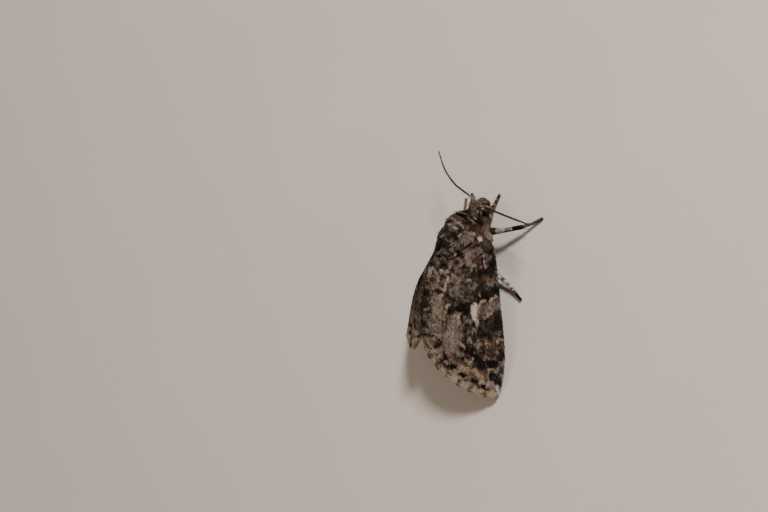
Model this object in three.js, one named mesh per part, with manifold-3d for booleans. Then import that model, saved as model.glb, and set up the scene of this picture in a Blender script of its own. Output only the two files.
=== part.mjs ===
/**
 * An owlet moth at rest, life size, with its wings folded roof-like over the body.
 *
 * Millimetres, +Z up.  The head faces -Y and the moth's own left is +X.  The part stands on the
 * flats under its six feet, and its origin is the middle of the bottom of its bounding box.
 */
import * as THREE from 'three';
import { mergeVertices } from 'three/addons/utils/BufferGeometryUtils.js';
import Module from 'manifold-3d';

const wasm = await Module();
wasm.setup();

const RIGHT = -1;
const LEFT = 1;
const SIDE_NAMES = { [RIGHT]: 'right', [LEFT]: 'left' };

// ---------------------------------------------------------------- driving dimensions
const GAP = 0.3;                 // clear space between neighbouring parts
const SHEET = 0.5;               // thickness of a wing
const LIMB_RADIUS = 0.25;        // thinnest legs and feelers, except at their tips

// The bodies of flesh are eggs laid along Y: front and back ends, the place of the widest ring,
// half width, heights above and below the axis, and the axis height at either end.
const THORAX = {
  front: -2.35, widest: -0.5, back: 2.3,
  halfWidth: 2.25, up: 2.4, down: 2.3, axis: [3.6, 3.75], power: 2.3,
};
// A crest of scales that fills the notch between the wings' inner edges behind the thorax.
const CREST = {
  front: -0.2, widest: 0.9, back: 2.75,
  halfWidth: 0.95, up: 0.85, down: 1.6, axis: [5.1, 5.5], power: 2.0,
};
// Where the middle legs hang from the thorax, one on either side at this distance from the middle.
const HIP = {
  front: -1.5, widest: -0.5, back: 0.6,
  halfWidth: 0.8, up: 0.9, down: 0.8, axis: [2.3, 2.3], power: 2.0,
};
const HIP_PLACE = 1.5;
// The first ring of the thorax, under the back of the head.
const NECK = {
  front: -2.4, widest: -1.7, back: -1.0,
  halfWidth: 1.25, up: 0.65, down: 0.75, axis: [2.2, 2.2], power: 2.0,
};
const SWELLING_RINGS = 8;
const HEAD = {
  front: -3.62, widest: -2.85, back: -1.7,
  halfWidth: 1.05, up: 1.03, down: 0.95, axis: [2.92, 3.05], power: 2.2,
};
const ABDOMEN = {
  front: 1.6, widest: 4.0, back: 11.4,
  halfWidth: 1.45, up: 1.3, down: 1.35, axis: [2.55, 1.75], power: 2.0,
};
const ABDOMEN_SEGMENTS = 7;
const SEGMENT_STEP = 0.05;       // how far each ring of the abdomen stands over the next, as a share
const BODY_SIDES = 24;
const BODY_RINGS = 14;

const EYE = { centre: [0.8, -2.85, 2.93], radii: [0.52, 0.5, 0.52] };
const EYE_SEAT = 0.62;           // distance from the middle of the head to the flat back of each eye
// The palps lie against the face and are one with the head.
const PALP_PATH = [[0.27, -2.9, 2.4], [0.27, -3.25, 2.3], [0.26, -3.52, 2.48], [0.23, -3.6, 2.95]];
const PALP_RADII = [0.25, 0.26, 0.26, 0.2];

// ---------------------------------------------------------------- wings
// The leading edge runs from the root to the wing tip and the trailing edge from the root, up over
// the back of the thorax and along the ridge of the roof, to the inner corner of the outer margin.
const LEADING_EDGE = [
  [2.2, -1.0, 3.75], [3.15, -0.55, 3.1], [4.05, 1.4, 2.6], [5.3, 4.5, 2.0],
  [6.75, 7.9, 1.4], [7.5, 10.9, 0.85], [7.35, 13.9, 0.65],
];
const RIDGE_CLIMB = [[2.2, -0.4, 4.2], [2.0, 0.6, 5.35], [1.1, 1.5, 6.15]];
const RIDGE_LINE = [[2.7, 6.55], [4.2, 6.6], [6.6, 6.25], [9.2, 5.55], [11.75, 4.75]];   // y and z
// Each wing's own set: X of its edge on the ridge (the right one lies past the middle), spread and
// reach of its leading edge, bow of its outer margin past the line between its corners, and camber.
const SET = {
  [RIGHT]: { ridgeX: 0.15, spread: 1, reach: 1, bow: 1.5, camber: 0.45 },
  [LEFT]: { ridgeX: 0.45, spread: 0.9, reach: 0.88, bow: 1.1, camber: 0.8 },
};
const BOW_POWER = 0.6;
const BOW_REACH = 4;             // power of the distance from the root that the bow grows with
const SCALLOP = 0.13;            // depth of the notches between the vein ends
const VEIN_RISE = 0.12;
const VEIN_FADE = 0.04;          // share of the wing's length over which a ridge rises and sinks
const VEIN_HALF_SHARE = 0.016;   // half width of a ridge as a share of the wing's width
const FOREWING_STATIONS = 13;
// Where each vein runs across the wing (0 leading edge, 1 trailing edge) and along it (0 root, 1 margin).
const FOREWING_VEINS = [
  { name: 'subcosta', across: 0.05, from: 0.05, to: 0.55 },
  { name: 'radius 4', across: 0.13, from: 0.5, to: 1 },
  { name: 'radius trunk', across: 0.21, from: 0.04, to: 1 },
  { name: 'media 1', across: 0.31, from: 0.56, to: 1 },
  { name: 'media 2', across: 0.42, from: 0.56, to: 1 },
  { name: 'media 3', across: 0.52, from: 0.56, to: 1 },
  { name: 'cubitus trunk', across: 0.62, from: 0.04, to: 1 },
  { name: 'cubitus 2', across: 0.74, from: 0.4, to: 1 },
  { name: 'anal vein', across: 0.88, from: 0.04, to: 1 },
];
const CELL_END = { along: 0.56, from: 0.21, to: 0.62 };   // cross-vein that closes the middle cell

// The hindwing is folded under the forewing and covers this window of it.
const HINDWING_WINDOW = { along: [0.16, 0.9], across: [0.16, 0.8] };
const HINDWING_STATIONS = 10;
const HINDWING_VEINS = [
  { name: 'radius', across: 0.15, from: 0.05, to: 1 },
  { name: 'media 1', across: 0.35, from: 0.45, to: 1 },
  { name: 'media 3', across: 0.52, from: 0.45, to: 1 },
  { name: 'cubitus', across: 0.68, from: 0.05, to: 1 },
  { name: 'anal vein', across: 0.86, from: 0.05, to: 1 },
];

// ---------------------------------------------------------------- legs and feelers
const FOOT_LEVEL = 0.19;         // height of the toe's axis, so that its underside is a small flat
// Joints of each leg: root in the thorax, knee, ankle, middle of the foot and toe (x, y, z).
const LEGS = {
  leg_fore_right: [
    [-0.3, -1.4, 1.6], [0.42, -1.94, 0.95], [0.64, -2.64, 0.7], [0.7, -3.27, 0.4], [0.76, -3.93, FOOT_LEVEL],
  ],
  leg_mid_right: [
    [-0.9, -0.8, 2.2], [-2.65, -1.68, 1.6], [-4.2, -2.78, 0.85], [-4.92, -3.48, 0.4], [-5.6, -4.24, FOOT_LEVEL],
  ],
  leg_hind_right: [
    [-0.8, 1.0, 2.0], [-2.0, 2.6, 1.35], [-3.5, 3.05, 0.7], [-4.9, 3.5, 0.36], [-6.15, 4.0, FOOT_LEVEL],
  ],
  leg_fore_left: [
    [0.6, -1.3, 2.0], [1.9, -2.5, 1.9], [3.1, -2.35, 1.0], [3.75, -2.35, 0.5], [4.4, -2.47, FOOT_LEVEL],
  ],
  leg_mid_left: [
    [0.9, -0.3, 2.2], [2.9, 0.6, 1.9], [4.0, -0.2, 0.9], [4.5, -0.9, 0.45], [5.0, -1.65, FOOT_LEVEL],
  ],
  leg_hind_left: [
    [0.8, 1.0, 2.0], [2.4, 3.4, 1.6], [3.3, 6.2, 0.75], [3.9, 7.6, 0.36], [4.5, 9.0, FOOT_LEVEL],
  ],
};
const THIGH_RADII = [0.4, 0.34, 0.29];
const SHIN_RADII = [0.29, 0.27, LIMB_RADIUS];
const FOOT_RADII = [LIMB_RADIUS, LIMB_RADIUS, 0.24];
const SPUR = { length: 0.6, radius: 0.13, splay: 0.35 };
const SPUR_PLACES = { fore: [], mid: [1], hind: [0.55, 1] };   // share of the shin from knee to ankle
const LEG_SIDES = 8;

const ANTENNAE = {
  antenna_left: [
    [0.38, -2.85, 3.4], [0.68, -3.5, 3.58], [3.15, -4.0, 4.0], [5.05, -4.7, 4.0], [6.9, -5.9, 3.8],
  ],
  antenna_right: [
    [-0.45, -2.85, 3.5], [-0.9, -3.45, 3.85], [-3.1, -3.66, 3.3], [-5.3, -4.02, 3.4], [-7.6, -4.5, 3.8],
  ],
};
const ANTENNA_RADII = [0.27, 0.26, LIMB_RADIUS, LIMB_RADIUS, 0.1];

// ---------------------------------------------------------------- colours and finishes
const FINISHES = {
  thoraxScales: { color: 0x6b5a4c, roughness: 0.95, metalness: 0 },
  headScales: { color: 0x6f5240, roughness: 0.95, metalness: 0 },
  abdomenScales: { color: 0x8a7663, roughness: 0.95, metalness: 0 },
  forewingScales: { color: 0x5e4a3c, roughness: 0.9, metalness: 0 },
  hindwingScales: { color: 0x8d8074, roughness: 0.9, metalness: 0 },
  legScales: { color: 0x3d322b, roughness: 0.9, metalness: 0 },
  antennaCuticle: { color: 0x3a2c22, roughness: 0.7, metalness: 0 },
  eyeGloss: { color: 0x0d0a08, roughness: 0.15, metalness: 0 },
};

// ---------------------------------------------------------------- solids
/** Indexed geometry with every shared corner joined, ready to be a solid. */
function weld(positions, triangles) {
  const geometry = new THREE.BufferGeometry();
  geometry.setAttribute('position', new THREE.Float32BufferAttribute(positions, 3));
  geometry.setIndex(triangles);
  return mergeVertices(geometry, 1e-5);
}

function toSolid(geometry) {
  geometry.deleteAttribute('normal');
  geometry.deleteAttribute('uv');
  const welded = mergeVertices(geometry, 1e-5);
  return new wasm.Manifold(new wasm.Mesh({
    numProp: 3,
    vertProperties: Float32Array.from(welded.attributes.position.array),
    triVerts: Uint32Array.from(welded.index.array),
  }));
}

/** The largest closed surface of a solid, as a geometry. */
function toGeometry(solid) {
  const pieces = solid.decompose();
  const largest = pieces.reduce((a, b) => (Math.abs(b.volume()) > Math.abs(a.volume()) ? b : a));
  const mesh = largest.getMesh();
  const geometry = new THREE.BufferGeometry();
  const corners = Float32Array.from(mesh.vertProperties);
  geometry.setAttribute('position', new THREE.BufferAttribute(corners, 3));
  geometry.setIndex(Array.from(mesh.triVerts));
  return geometry;
}

function lerp(a, b, share) {
  return a + (b - a) * share;
}

function smooth(edge0, edge1, x) {
  return THREE.MathUtils.smoothstep(x, edge0, edge1);
}

function point([x, y, z], side = 1) {
  return new THREE.Vector3(x * side, y, z);
}

function curveThrough(points, side = 1) {
  return new THREE.CatmullRomCurve3(points.map((p) => point(p, side)), false, 'centripetal');
}

/** A closed egg along Y between its two ends.  `grow` swells it all round, for clearances. */
function egg(body, { grow = 0, rings = BODY_RINGS, ringScale = () => 1 } = {}) {
  const positions = [];
  const triangles = [];
  const front = body.front - grow;
  const back = body.back + grow;
  for (let i = 0; i <= rings; i += 1) {
    const turn = -Math.cos((Math.PI * i) / rings);
    const y = turn < 0 ? lerp(body.widest, front, -turn) : lerp(body.widest, back, turn);
    const profile = Math.pow(1 - Math.pow(Math.abs(turn), body.power), 1 / body.power) * ringScale(y);
    const axis = lerp(body.axis[0], body.axis[1], (y - front) / (back - front));
    if (i === 0 || i === rings) {
      positions.push(0, y, axis);
      continue;
    }
    for (let j = 0; j < BODY_SIDES; j += 1) {
      const angle = (2 * Math.PI * j) / BODY_SIDES;
      const height = Math.sin(angle) > 0 ? body.up + grow : body.down + grow;
      positions.push(
        Math.cos(angle) * (body.halfWidth + grow) * profile,
        y,
        axis + Math.sin(angle) * height * profile,
      );
    }
  }
  const last = 1 + (rings - 1) * BODY_SIDES;
  for (let j = 0; j < BODY_SIDES; j += 1) {
    const next = (j + 1) % BODY_SIDES;
    triangles.push(0, 1 + j, 1 + next);
    triangles.push(last, last - BODY_SIDES + next, last - BODY_SIDES + j);
    for (let i = 0; i < rings - 2; i += 1) {
      const ring = 1 + i * BODY_SIDES;
      const upper = ring + BODY_SIDES;
      triangles.push(ring + j, upper + j, ring + next);
      triangles.push(ring + next, upper + j, upper + next);
    }
  }
  return weld(positions, triangles);
}

/** A closed tube along a curve, whose radius runs through `radii` at even steps. */
function taperedTube(curve, radii, { sides = LEG_SIDES, steps = 8 } = {}) {
  const frames = curve.computeFrenetFrames(steps, false);
  const positions = [];
  const triangles = [];
  for (let i = 0; i <= steps; i += 1) {
    const along = i / steps;
    const centre = curve.getPointAt(along);
    const place = along * (radii.length - 1);
    const lower = Math.min(Math.floor(place), radii.length - 2);
    const radius = lerp(radii[lower], radii[lower + 1], place - lower);
    for (let j = 0; j < sides; j += 1) {
      const angle = (2 * Math.PI * j) / sides;
      const rim = centre.clone()
        .addScaledVector(frames.normals[i], Math.cos(angle) * radius)
        .addScaledVector(frames.binormals[i], Math.sin(angle) * radius);
      positions.push(rim.x, rim.y, rim.z);
    }
  }
  for (let i = 0; i < steps; i += 1) {
    for (let j = 0; j < sides; j += 1) {
      const next = (j + 1) % sides;
      const ring = i * sides;
      triangles.push(ring + j, ring + next, ring + sides + j);
      triangles.push(ring + next, ring + sides + next, ring + sides + j);
    }
  }
  const rootCentre = positions.length / 3;
  const root = curve.getPointAt(0).addScaledVector(frames.tangents[0], -radii[0] * 0.4);
  const tip = curve.getPointAt(1).addScaledVector(frames.tangents[steps], radii[radii.length - 1] * 0.6);
  positions.push(root.x, root.y, root.z, tip.x, tip.y, tip.z);
  for (let j = 0; j < sides; j += 1) {
    const next = (j + 1) % sides;
    triangles.push(rootCentre, next, j);
    triangles.push(rootCentre + 1, steps * sides + j, steps * sides + next);
  }
  return weld(positions, triangles);
}

/** A block under the floor, which trims whatever would reach below the feet's flats. */
function belowFloor() {
  const size = 60;
  const block = new THREE.BoxGeometry(size, size, size);
  block.translate(0, 0, -size / 2);
  return toSolid(block);
}

// ---------------------------------------------------------------- wings
/** Height of the vein ridges at one place of a wing. */
function veinRise(veins, along, across) {
  const vein = veins.find((v) => Math.abs(v.across - across) < 1e-6);
  if (!vein) {
    return 0;
  }
  const starts = smooth(vein.from - VEIN_FADE, vein.from + VEIN_FADE, along);
  const ends = smooth(vein.to - VEIN_FADE, vein.to, along);
  return VEIN_RISE * starts * (1 - ends);
}

/** The lines along a wing: three to each vein and one on each edge. */
function lineShares(veins) {
  const shares = [0, 1];
  for (const vein of veins) {
    shares.push(vein.across - VEIN_HALF_SHARE, vein.across, vein.across + VEIN_HALF_SHARE);
  }
  return shares.sort((a, b) => a - b);
}

/** The upper face of a forewing as a function of the shares along and across it. */
function forewingFace(side) {
  const { ridgeX, spread, reach, bow, camber } = SET[side];
  const leading = curveThrough(LEADING_EDGE.map(([x, y, z]) => [x * spread, y * reach, z]), side);
  const climb = RIDGE_CLIMB.map(([x, y, z]) => [x * side, y, z]);
  const trailing = curveThrough([...climb, ...RIDGE_LINE.map(([y, z]) => [ridgeX, y, z])]);
  return (along, across) => {
    const front = leading.getPointAt(Math.min(along, 1));
    const back = trailing.getPointAt(Math.min(along, 1));
    const place = front.lerp(back, across);
    const arch = Math.max(Math.sin(Math.PI * across), 0);
    const rise = camber * arch * smooth(0.05, 0.75, along);
    place.x += rise * 0.5 * side;
    place.y += bow * Math.pow(arch, BOW_POWER) * Math.pow(along, BOW_REACH);
    place.z += rise;
    return place;
  };
}

/** The upper face of a hindwing, a window of the forewing's face moved in under it. */
function hindwingFace(side) {
  const cover = forewingFace(side);
  const depth = SHEET + GAP + VEIN_RISE;
  return (along, across) => {
    const t = lerp(HINDWING_WINDOW.along[0], HINDWING_WINDOW.along[1], along);
    const w = lerp(HINDWING_WINDOW.across[0], HINDWING_WINDOW.across[1], across);
    return cover(t, w).addScaledVector(faceNormal(cover, t, w, side), -depth);
  };
}

/** Outward direction of a wing's upper face. */
function faceNormal(face, along, across, side) {
  const step = 0.01;
  const a = Math.min(Math.max(along, step), 1 - step);
  const w = Math.min(Math.max(across, step), 1 - step);
  const alongEdge = face(a + step, w).sub(face(a - step, w));
  const acrossEdge = face(a, w + step).sub(face(a, w - step));
  return alongEdge.cross(acrossEdge).multiplyScalar(side).normalize();
}

/** A wing: the face, its copy one thickness further in, split alike, and a wall round the edge. */
function wingSheet(face, side, veins, stations, ridgeEdge) {
  const shares = lineShares(veins);
  const columns = shares.length;
  const positions = [];
  const triangles = [];
  const up = new THREE.Vector3(0, 0, 1);
  const layers = [0, SHEET];
  for (const depth of layers) {
    for (let i = 0; i < stations; i += 1) {
      for (const across of shares) {
        const notch = SCALLOP * notchShare(veins, across) * smooth(0.9, 1, i / (stations - 1));
        const along = i / (stations - 1);
        const place = face(along, across);
        const outward = faceNormal(face, along, across, side);
        outward.lerp(up, ridgeEdge ? smooth(0.75, 1, across) : 0).normalize();
        const ridge = depth === 0 ? veinRise(veins, along, across) + cellEnd(veins, along, across) : 0;
        place.addScaledVector(outward, ridge - depth);
        place.y -= notch;
        positions.push(place.x, place.y, place.z);
      }
    }
  }
  const layer = stations * columns;
  const put = (a, b, c) => (side < 0 ? triangles.push(a, b, c) : triangles.push(a, c, b));
  for (let i = 0; i < stations - 1; i += 1) {
    for (let j = 0; j < columns - 1; j += 1) {
      const a = i * columns + j;
      const b = a + 1;
      const c = a + columns;
      const d = c + 1;
      put(a, b, c);
      put(b, d, c);
      put(layer + a, layer + c, layer + b);
      put(layer + b, layer + c, layer + d);
    }
  }
  const wall = (a, b) => {
    put(a, layer + a, b);
    put(b, layer + a, layer + b);
  };
  for (let j = 0; j < columns - 1; j += 1) {
    wall(j, j + 1);
    wall((stations - 1) * columns + j + 1, (stations - 1) * columns + j);
  }
  for (let i = 0; i < stations - 1; i += 1) {
    wall((i + 1) * columns, i * columns);
    wall(i * columns + columns - 1, (i + 1) * columns + columns - 1);
  }
  return weld(positions, triangles);
}

/** 1 between two vein ends and 0 at them, which gives the margin its scallops. */
function notchShare(veins, across) {
  const nearest = Math.min(...veins.map((v) => Math.abs(v.across - across)));
  return nearest < 1e-6 ? 0 : Math.min(1, nearest / 0.05);
}

/** The cross-vein at the end of the forewing's middle cell. */
function cellEnd(veins, along, across) {
  if (veins !== FOREWING_VEINS) {
    return 0;
  }
  const inside = across > CELL_END.from && across < CELL_END.to;
  const station = Math.round(CELL_END.along * (FOREWING_STATIONS - 1)) / (FOREWING_STATIONS - 1);
  return inside && Math.abs(along - station) < 1e-6 ? VEIN_RISE * 0.6 : 0;
}

// ---------------------------------------------------------------- legs and feelers
/** One leg: thigh, shin with its pairs of spurs, and a foot. */
function legSolid(joints, spurPlaces) {
  const [root, knee, ankle, sole, toe] = joints;
  const stretch = (path, radii, steps) => toSolid(taperedTube(curveThrough(path), radii, { steps }));
  let leg = stretch([root, knee], THIGH_RADII, 3)
    .add(stretch([knee, ankle], SHIN_RADII, 3))
    .add(stretch([ankle, sole, toe], FOOT_RADII, 6));
  for (const place of spurPlaces) {
    for (const turn of [1, -1]) {
      leg = leg.add(spurSolid(point(knee), point(ankle), place, turn));
    }
  }
  return leg;
}

/** One spur, rooted in the shin and splayed to one side of it. */
function spurSolid(knee, ankle, place, turn) {
  const shin = ankle.clone().sub(knee).normalize();
  const across = new THREE.Vector3().crossVectors(shin, new THREE.Vector3(0, 0, 1)).normalize();
  const aim = shin.clone().lerp(across.multiplyScalar(turn), SPUR.splay).normalize();
  const start = knee.clone().lerp(ankle, place).addScaledVector(shin, -SPUR.radius);
  const end = start.clone().addScaledVector(aim, SPUR.length);
  const path = new THREE.CatmullRomCurve3([start, end]);
  return toSolid(taperedTube(path, [SPUR.radius * 1.6, SPUR.radius], { sides: 6, steps: 1 }));
}

/** One eye with a flat back against its seat.  `grow` swells it all round, for the socket. */
function eyeSolid(side, grow = 0) {
  const ball = new THREE.SphereGeometry(1, 14, 9);
  ball.scale(EYE.radii[0] + grow, EYE.radii[1] + grow, EYE.radii[2] + grow);
  ball.translate(EYE.centre[0] * side, EYE.centre[1], EYE.centre[2]);
  const size = 4;
  const seat = new THREE.BoxGeometry(size, size, size);
  seat.translate((EYE_SEAT - grow - size / 2) * side, EYE.centre[1], EYE.centre[2]);
  return toSolid(ball).subtract(toSolid(seat));
}

// ---------------------------------------------------------------- the moth
/** The thorax with its crest, neck and hips.  `grow` swells it all round, for clearances. */
function thoraxWhole(grow = 0) {
  const swelling = (body) => toSolid(egg(body, { grow, rings: SWELLING_RINGS }));
  return toSolid(egg(THORAX, { grow })).add(swelling(CREST)).add(swelling(NECK))
    .add(swelling(HIP).translate(HIP_PLACE, 0, 0))
    .add(swelling(HIP).translate(-HIP_PLACE, 0, 0));
}

function palpSolid(side) {
  return toSolid(taperedTube(curveThrough(PALP_PATH, side), PALP_RADII, { steps: 6 }));
}

const sockets = eyeSolid(RIGHT, GAP).add(eyeSolid(LEFT, GAP));
const thoraxSolid = thoraxWhole().subtract(sockets);
const thoraxClearance = thoraxWhole(GAP);
const face = toSolid(egg(HEAD)).add(palpSolid(RIGHT)).add(palpSolid(LEFT));
const headSolid = face.subtract(thoraxClearance).subtract(sockets);
const headClearance = toSolid(egg(HEAD, { grow: GAP }));
const segmentLength = (ABDOMEN.back - ABDOMEN.front) / ABDOMEN_SEGMENTS;
const segmented = (y) => 1 + SEGMENT_STEP * (0.5 - (((y - ABDOMEN.front) / segmentLength) % 1));
const abdomenRings = { rings: 2 * ABDOMEN_SEGMENTS + 4, ringScale: segmented };
const abdomenSolid = toSolid(egg(ABDOMEN, abdomenRings)).subtract(thoraxClearance);
const abdomenClearance = toSolid(egg(ABDOMEN, { grow: GAP * 1.2 }));
const floor = belowFloor();

const group = new THREE.Group();
group.name = 'owlet_moth';

function addNode(name, solid, finish) {
  const mesh = new THREE.Mesh(toGeometry(solid), new THREE.MeshStandardMaterial(FINISHES[finish]));
  mesh.name = name;
  group.add(mesh);
}

addNode('thorax', thoraxSolid, 'thoraxScales');
addNode('head', headSolid, 'headScales');
addNode('abdomen', abdomenSolid, 'abdomenScales');

for (const side of [RIGHT, LEFT]) {
  const name = SIDE_NAMES[side];

  addNode(`eye_${name}`, eyeSolid(side), 'eyeGloss');

  const forewing = toSolid(wingSheet(forewingFace(side), side, FOREWING_VEINS, FOREWING_STATIONS, true));
  addNode(`forewing_${name}`, forewing.subtract(thoraxClearance), 'forewingScales');

  const hindwing = toSolid(wingSheet(hindwingFace(side), side, HINDWING_VEINS, HINDWING_STATIONS, false));
  const freeHindwing = hindwing.subtract(thoraxClearance).subtract(abdomenClearance);
  addNode(`hindwing_${name}`, freeHindwing, 'hindwingScales');
}

for (const [name, joints] of Object.entries(LEGS)) {
  const pair = name.split('_')[1];
  const leg = legSolid(joints, SPUR_PLACES[pair]).subtract(floor);
  addNode(name, leg.subtract(thoraxClearance).subtract(headClearance), 'legScales');
}

for (const [name, path] of Object.entries(ANTENNAE)) {
  const feeler = toSolid(taperedTube(curveThrough(path), ANTENNA_RADII, { sides: 8, steps: 18 }));
  addNode(name, feeler.subtract(headClearance), 'antennaCuticle');
}

// The origin goes to the middle of the bottom of the whole moth.
const box = new THREE.Box3().setFromObject(group);
const middle = box.getCenter(new THREE.Vector3());
for (const mesh of group.children) {
  mesh.geometry.translate(-middle.x, -middle.y, -box.min.z);
}

export default group;
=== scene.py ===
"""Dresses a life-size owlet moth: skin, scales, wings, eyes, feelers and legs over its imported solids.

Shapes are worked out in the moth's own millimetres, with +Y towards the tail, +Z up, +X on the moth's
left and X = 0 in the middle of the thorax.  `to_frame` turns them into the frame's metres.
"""

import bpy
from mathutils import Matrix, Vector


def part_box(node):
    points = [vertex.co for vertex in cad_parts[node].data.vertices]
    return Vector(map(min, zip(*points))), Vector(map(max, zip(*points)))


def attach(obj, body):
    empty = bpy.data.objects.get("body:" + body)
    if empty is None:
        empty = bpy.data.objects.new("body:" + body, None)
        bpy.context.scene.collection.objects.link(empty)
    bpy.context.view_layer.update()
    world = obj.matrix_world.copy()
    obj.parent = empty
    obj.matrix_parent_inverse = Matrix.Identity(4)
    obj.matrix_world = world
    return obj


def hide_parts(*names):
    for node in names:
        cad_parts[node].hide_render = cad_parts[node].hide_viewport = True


bl_info = {
    "name": "Owlet moth",
    "version": (1, 0, 0),
    "blender": (4, 5, 0),
    "location": "3D View > Sidebar > Moth",
    "description": "Builds the visual model of a resting owlet moth around its packed frame",
    "category": "Object",
}

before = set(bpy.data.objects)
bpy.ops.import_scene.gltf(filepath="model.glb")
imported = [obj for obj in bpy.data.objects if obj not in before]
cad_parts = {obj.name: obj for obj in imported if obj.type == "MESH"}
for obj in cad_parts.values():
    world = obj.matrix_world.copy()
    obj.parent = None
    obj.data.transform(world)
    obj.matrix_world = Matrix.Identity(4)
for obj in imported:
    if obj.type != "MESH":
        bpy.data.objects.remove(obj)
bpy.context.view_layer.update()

import math

import bpy
import numpy as np
from bpy.props import FloatProperty, FloatVectorProperty, IntProperty, PointerProperty
from mathutils import Matrix, Vector

BODY = "root"
MM = 0.001

RIGHT, LEFT = -1, 1
SIDES = {"right": RIGHT, "left": LEFT}

# ---------- the moth's sizes, in millimetres
# Eggs of the body: front, widest and back place along Y, half width, heights over and under the axis,
# the axis height at either end, the power of the outline and the depth of the coat that lies on it.
THORAX = dict(front=-2.35, widest=-0.5, back=2.3, wide=2.25, up=2.4, down=2.3, axis=(3.6, 3.75), power=2.3,
              coat=0.26)
CREST = dict(front=-0.2, widest=0.9, back=2.75, wide=0.95, up=0.85, down=1.6, axis=(5.1, 5.5), power=2.0,
             coat=0.26)
NECK = dict(front=-2.4, widest=-1.7, back=-1.0, wide=1.25, up=0.65, down=0.75, axis=(2.2, 2.2), power=2.0,
            coat=0.16)
HEAD = dict(front=-3.62, widest=-2.85, back=-1.7, wide=1.05, up=1.03, down=0.95, axis=(2.92, 3.05),
            power=2.2, coat=0.13)
ABDOMEN = dict(front=1.6, widest=4.0, back=11.4, wide=1.45, up=1.3, down=1.35, axis=(2.55, 1.75), power=2.0,
               coat=0.14)
ABDOMEN_SEGMENTS = 7
SEGMENT_RIDGE = 0.06  # how far each segment steps in behind the one before
GIRTH_RADIUS = 1.9  # turns degrees round the body into millimetres for its marks
NECK_BLUR = 0.1  # how far the crease between two eggs is rounded
# Raised parts of the skin: place along Y, degrees from the top line, half sizes of both, and height.
SWELLINGS = {
    "collar": (-1.72, 32, 0.32, 30, 0.13),
    "tegula": (-0.35, 66, 0.95, 20, 0.17),
    "back crest": (1.15, 0, 0.65, 13, 0.14),
    "collar notch": (-1.72, 0, 0.4, 6, -0.06),
    "collar groove": (-1.22, 34, 0.1, 36, -0.09),
    "tegula groove": (-0.4, 41, 1.1, 5, -0.1),
    "hip": (-0.5, 122, 0.6, 22, 0.5),
}

EYE_CENTRE = np.array([0.8, -2.85, 2.93])
EYE_RADII = np.array([0.52, 0.5, 0.52])
ORBIT = 0.43  # share of the way round the eye, from its outermost point, of its pale ring
ORBIT_SIZE = 1.2  # how much larger than the eye the ring is
PALP_PATH = [(0.27, -2.9, 2.42), (0.27, -3.27, 2.33), (0.26, -3.52, 2.48), (0.23, -3.6, 2.95)]
PALP_RADII = ((0, 0.15), (0.3, 0.2), (0.6, 0.21), (0.85, 0.18), (0.95, 0.12), (1, 0.04))

# Leading edge of a forewing from its root to the tip, and trailing edge from the root up the thorax and
# along the ridge of the roof.
LEADING_EDGE = [(2.2, -1.0, 3.75), (3.15, -0.55, 3.1), (4.05, 1.4, 2.6), (5.3, 4.5, 2.0),
                (6.75, 7.9, 1.4), (7.5, 10.9, 0.85), (7.35, 13.9, 0.65)]
RIDGE_CLIMB = [(2.2, -0.4, 4.2), (2.0, 0.6, 5.35), (1.1, 1.5, 6.15)]
RIDGE_LINE = [(2.7, 6.55), (4.2, 6.6), (6.6, 6.25), (9.2, 5.55), (11.75, 4.75)]
# How each forewing is set: where its ridge lies, how far it is spread and drawn out, the bow of its margin
# and its camber, painted shade over its trailing half, and how far its fringe trails and its comb reaches.
WING_SET = {
    RIGHT: dict(ridge_x=0.15, spread=1.0, reach=1.0, bow=1.5, camber=0.45, shade=0.0, trail=0.0, comb=1.0),
    # The left wing's shade is painted shade, for the shadow that wing lies in, turned away from the key
    # light.
    LEFT: dict(ridge_x=0.45, spread=0.9, reach=0.88, bow=1.1, camber=0.8, shade=0.75, trail=1.2, comb=0.3),
}
BOW_POWER = 0.6  # how full the bow is across the wing
BOW_REACH = 4  # how close to the margin it keeps
WING_LENGTH = 15.5
MEAN_WIDTH = 8.0
# Shares of the length, and the wing's width at each.
WING_WIDTHS = ((0, 0.1, 0.2, 0.4, 0.6, 0.8, 1), (0.75, 2.8, 4.4, 7.2, 8.4, 9.3, 9.7))
# Veins: across (0 leading edge, 1 trailing edge), then from and to along the wing (0 root, 1 margin).
FOREWING_VEINS = [(0.05, 0.05, 0.55), (0.13, 0.5, 1), (0.21, 0.04, 1), (0.31, 0.56, 1), (0.42, 0.56, 1),
                  (0.52, 0.56, 1), (0.62, 0.04, 1), (0.74, 0.4, 1), (0.88, 0.04, 1)]
HINDWING_VEINS = [(0.15, 0.05, 1), (0.35, 0.45, 1), (0.52, 0.45, 1), (0.68, 0.05, 1), (0.86, 0.05, 1)]
VEIN_HALF_WIDTH = 0.13
WING_COAT = 0.05  # how far the membrane lies under the outline of the solid wing
MARGIN = 0.966  # where the membrane ends and the fringe takes over
SCALLOP = 0.006  # how deep the margin is cut in between the veins, as a share of the length
PLEAT = 0.05  # depth of the faint pleats in a forewing
HINDWING_WINDOW = ((0.16, 0.9), (0.16, 0.8))  # the stretch under the forewing that a hindwing fills
HINDWING_DEPTH = 0.92  # how far under the forewing it lies
HINDWING_PLEAT = 0.08
HINDWING_MARGIN = 0.97

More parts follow.
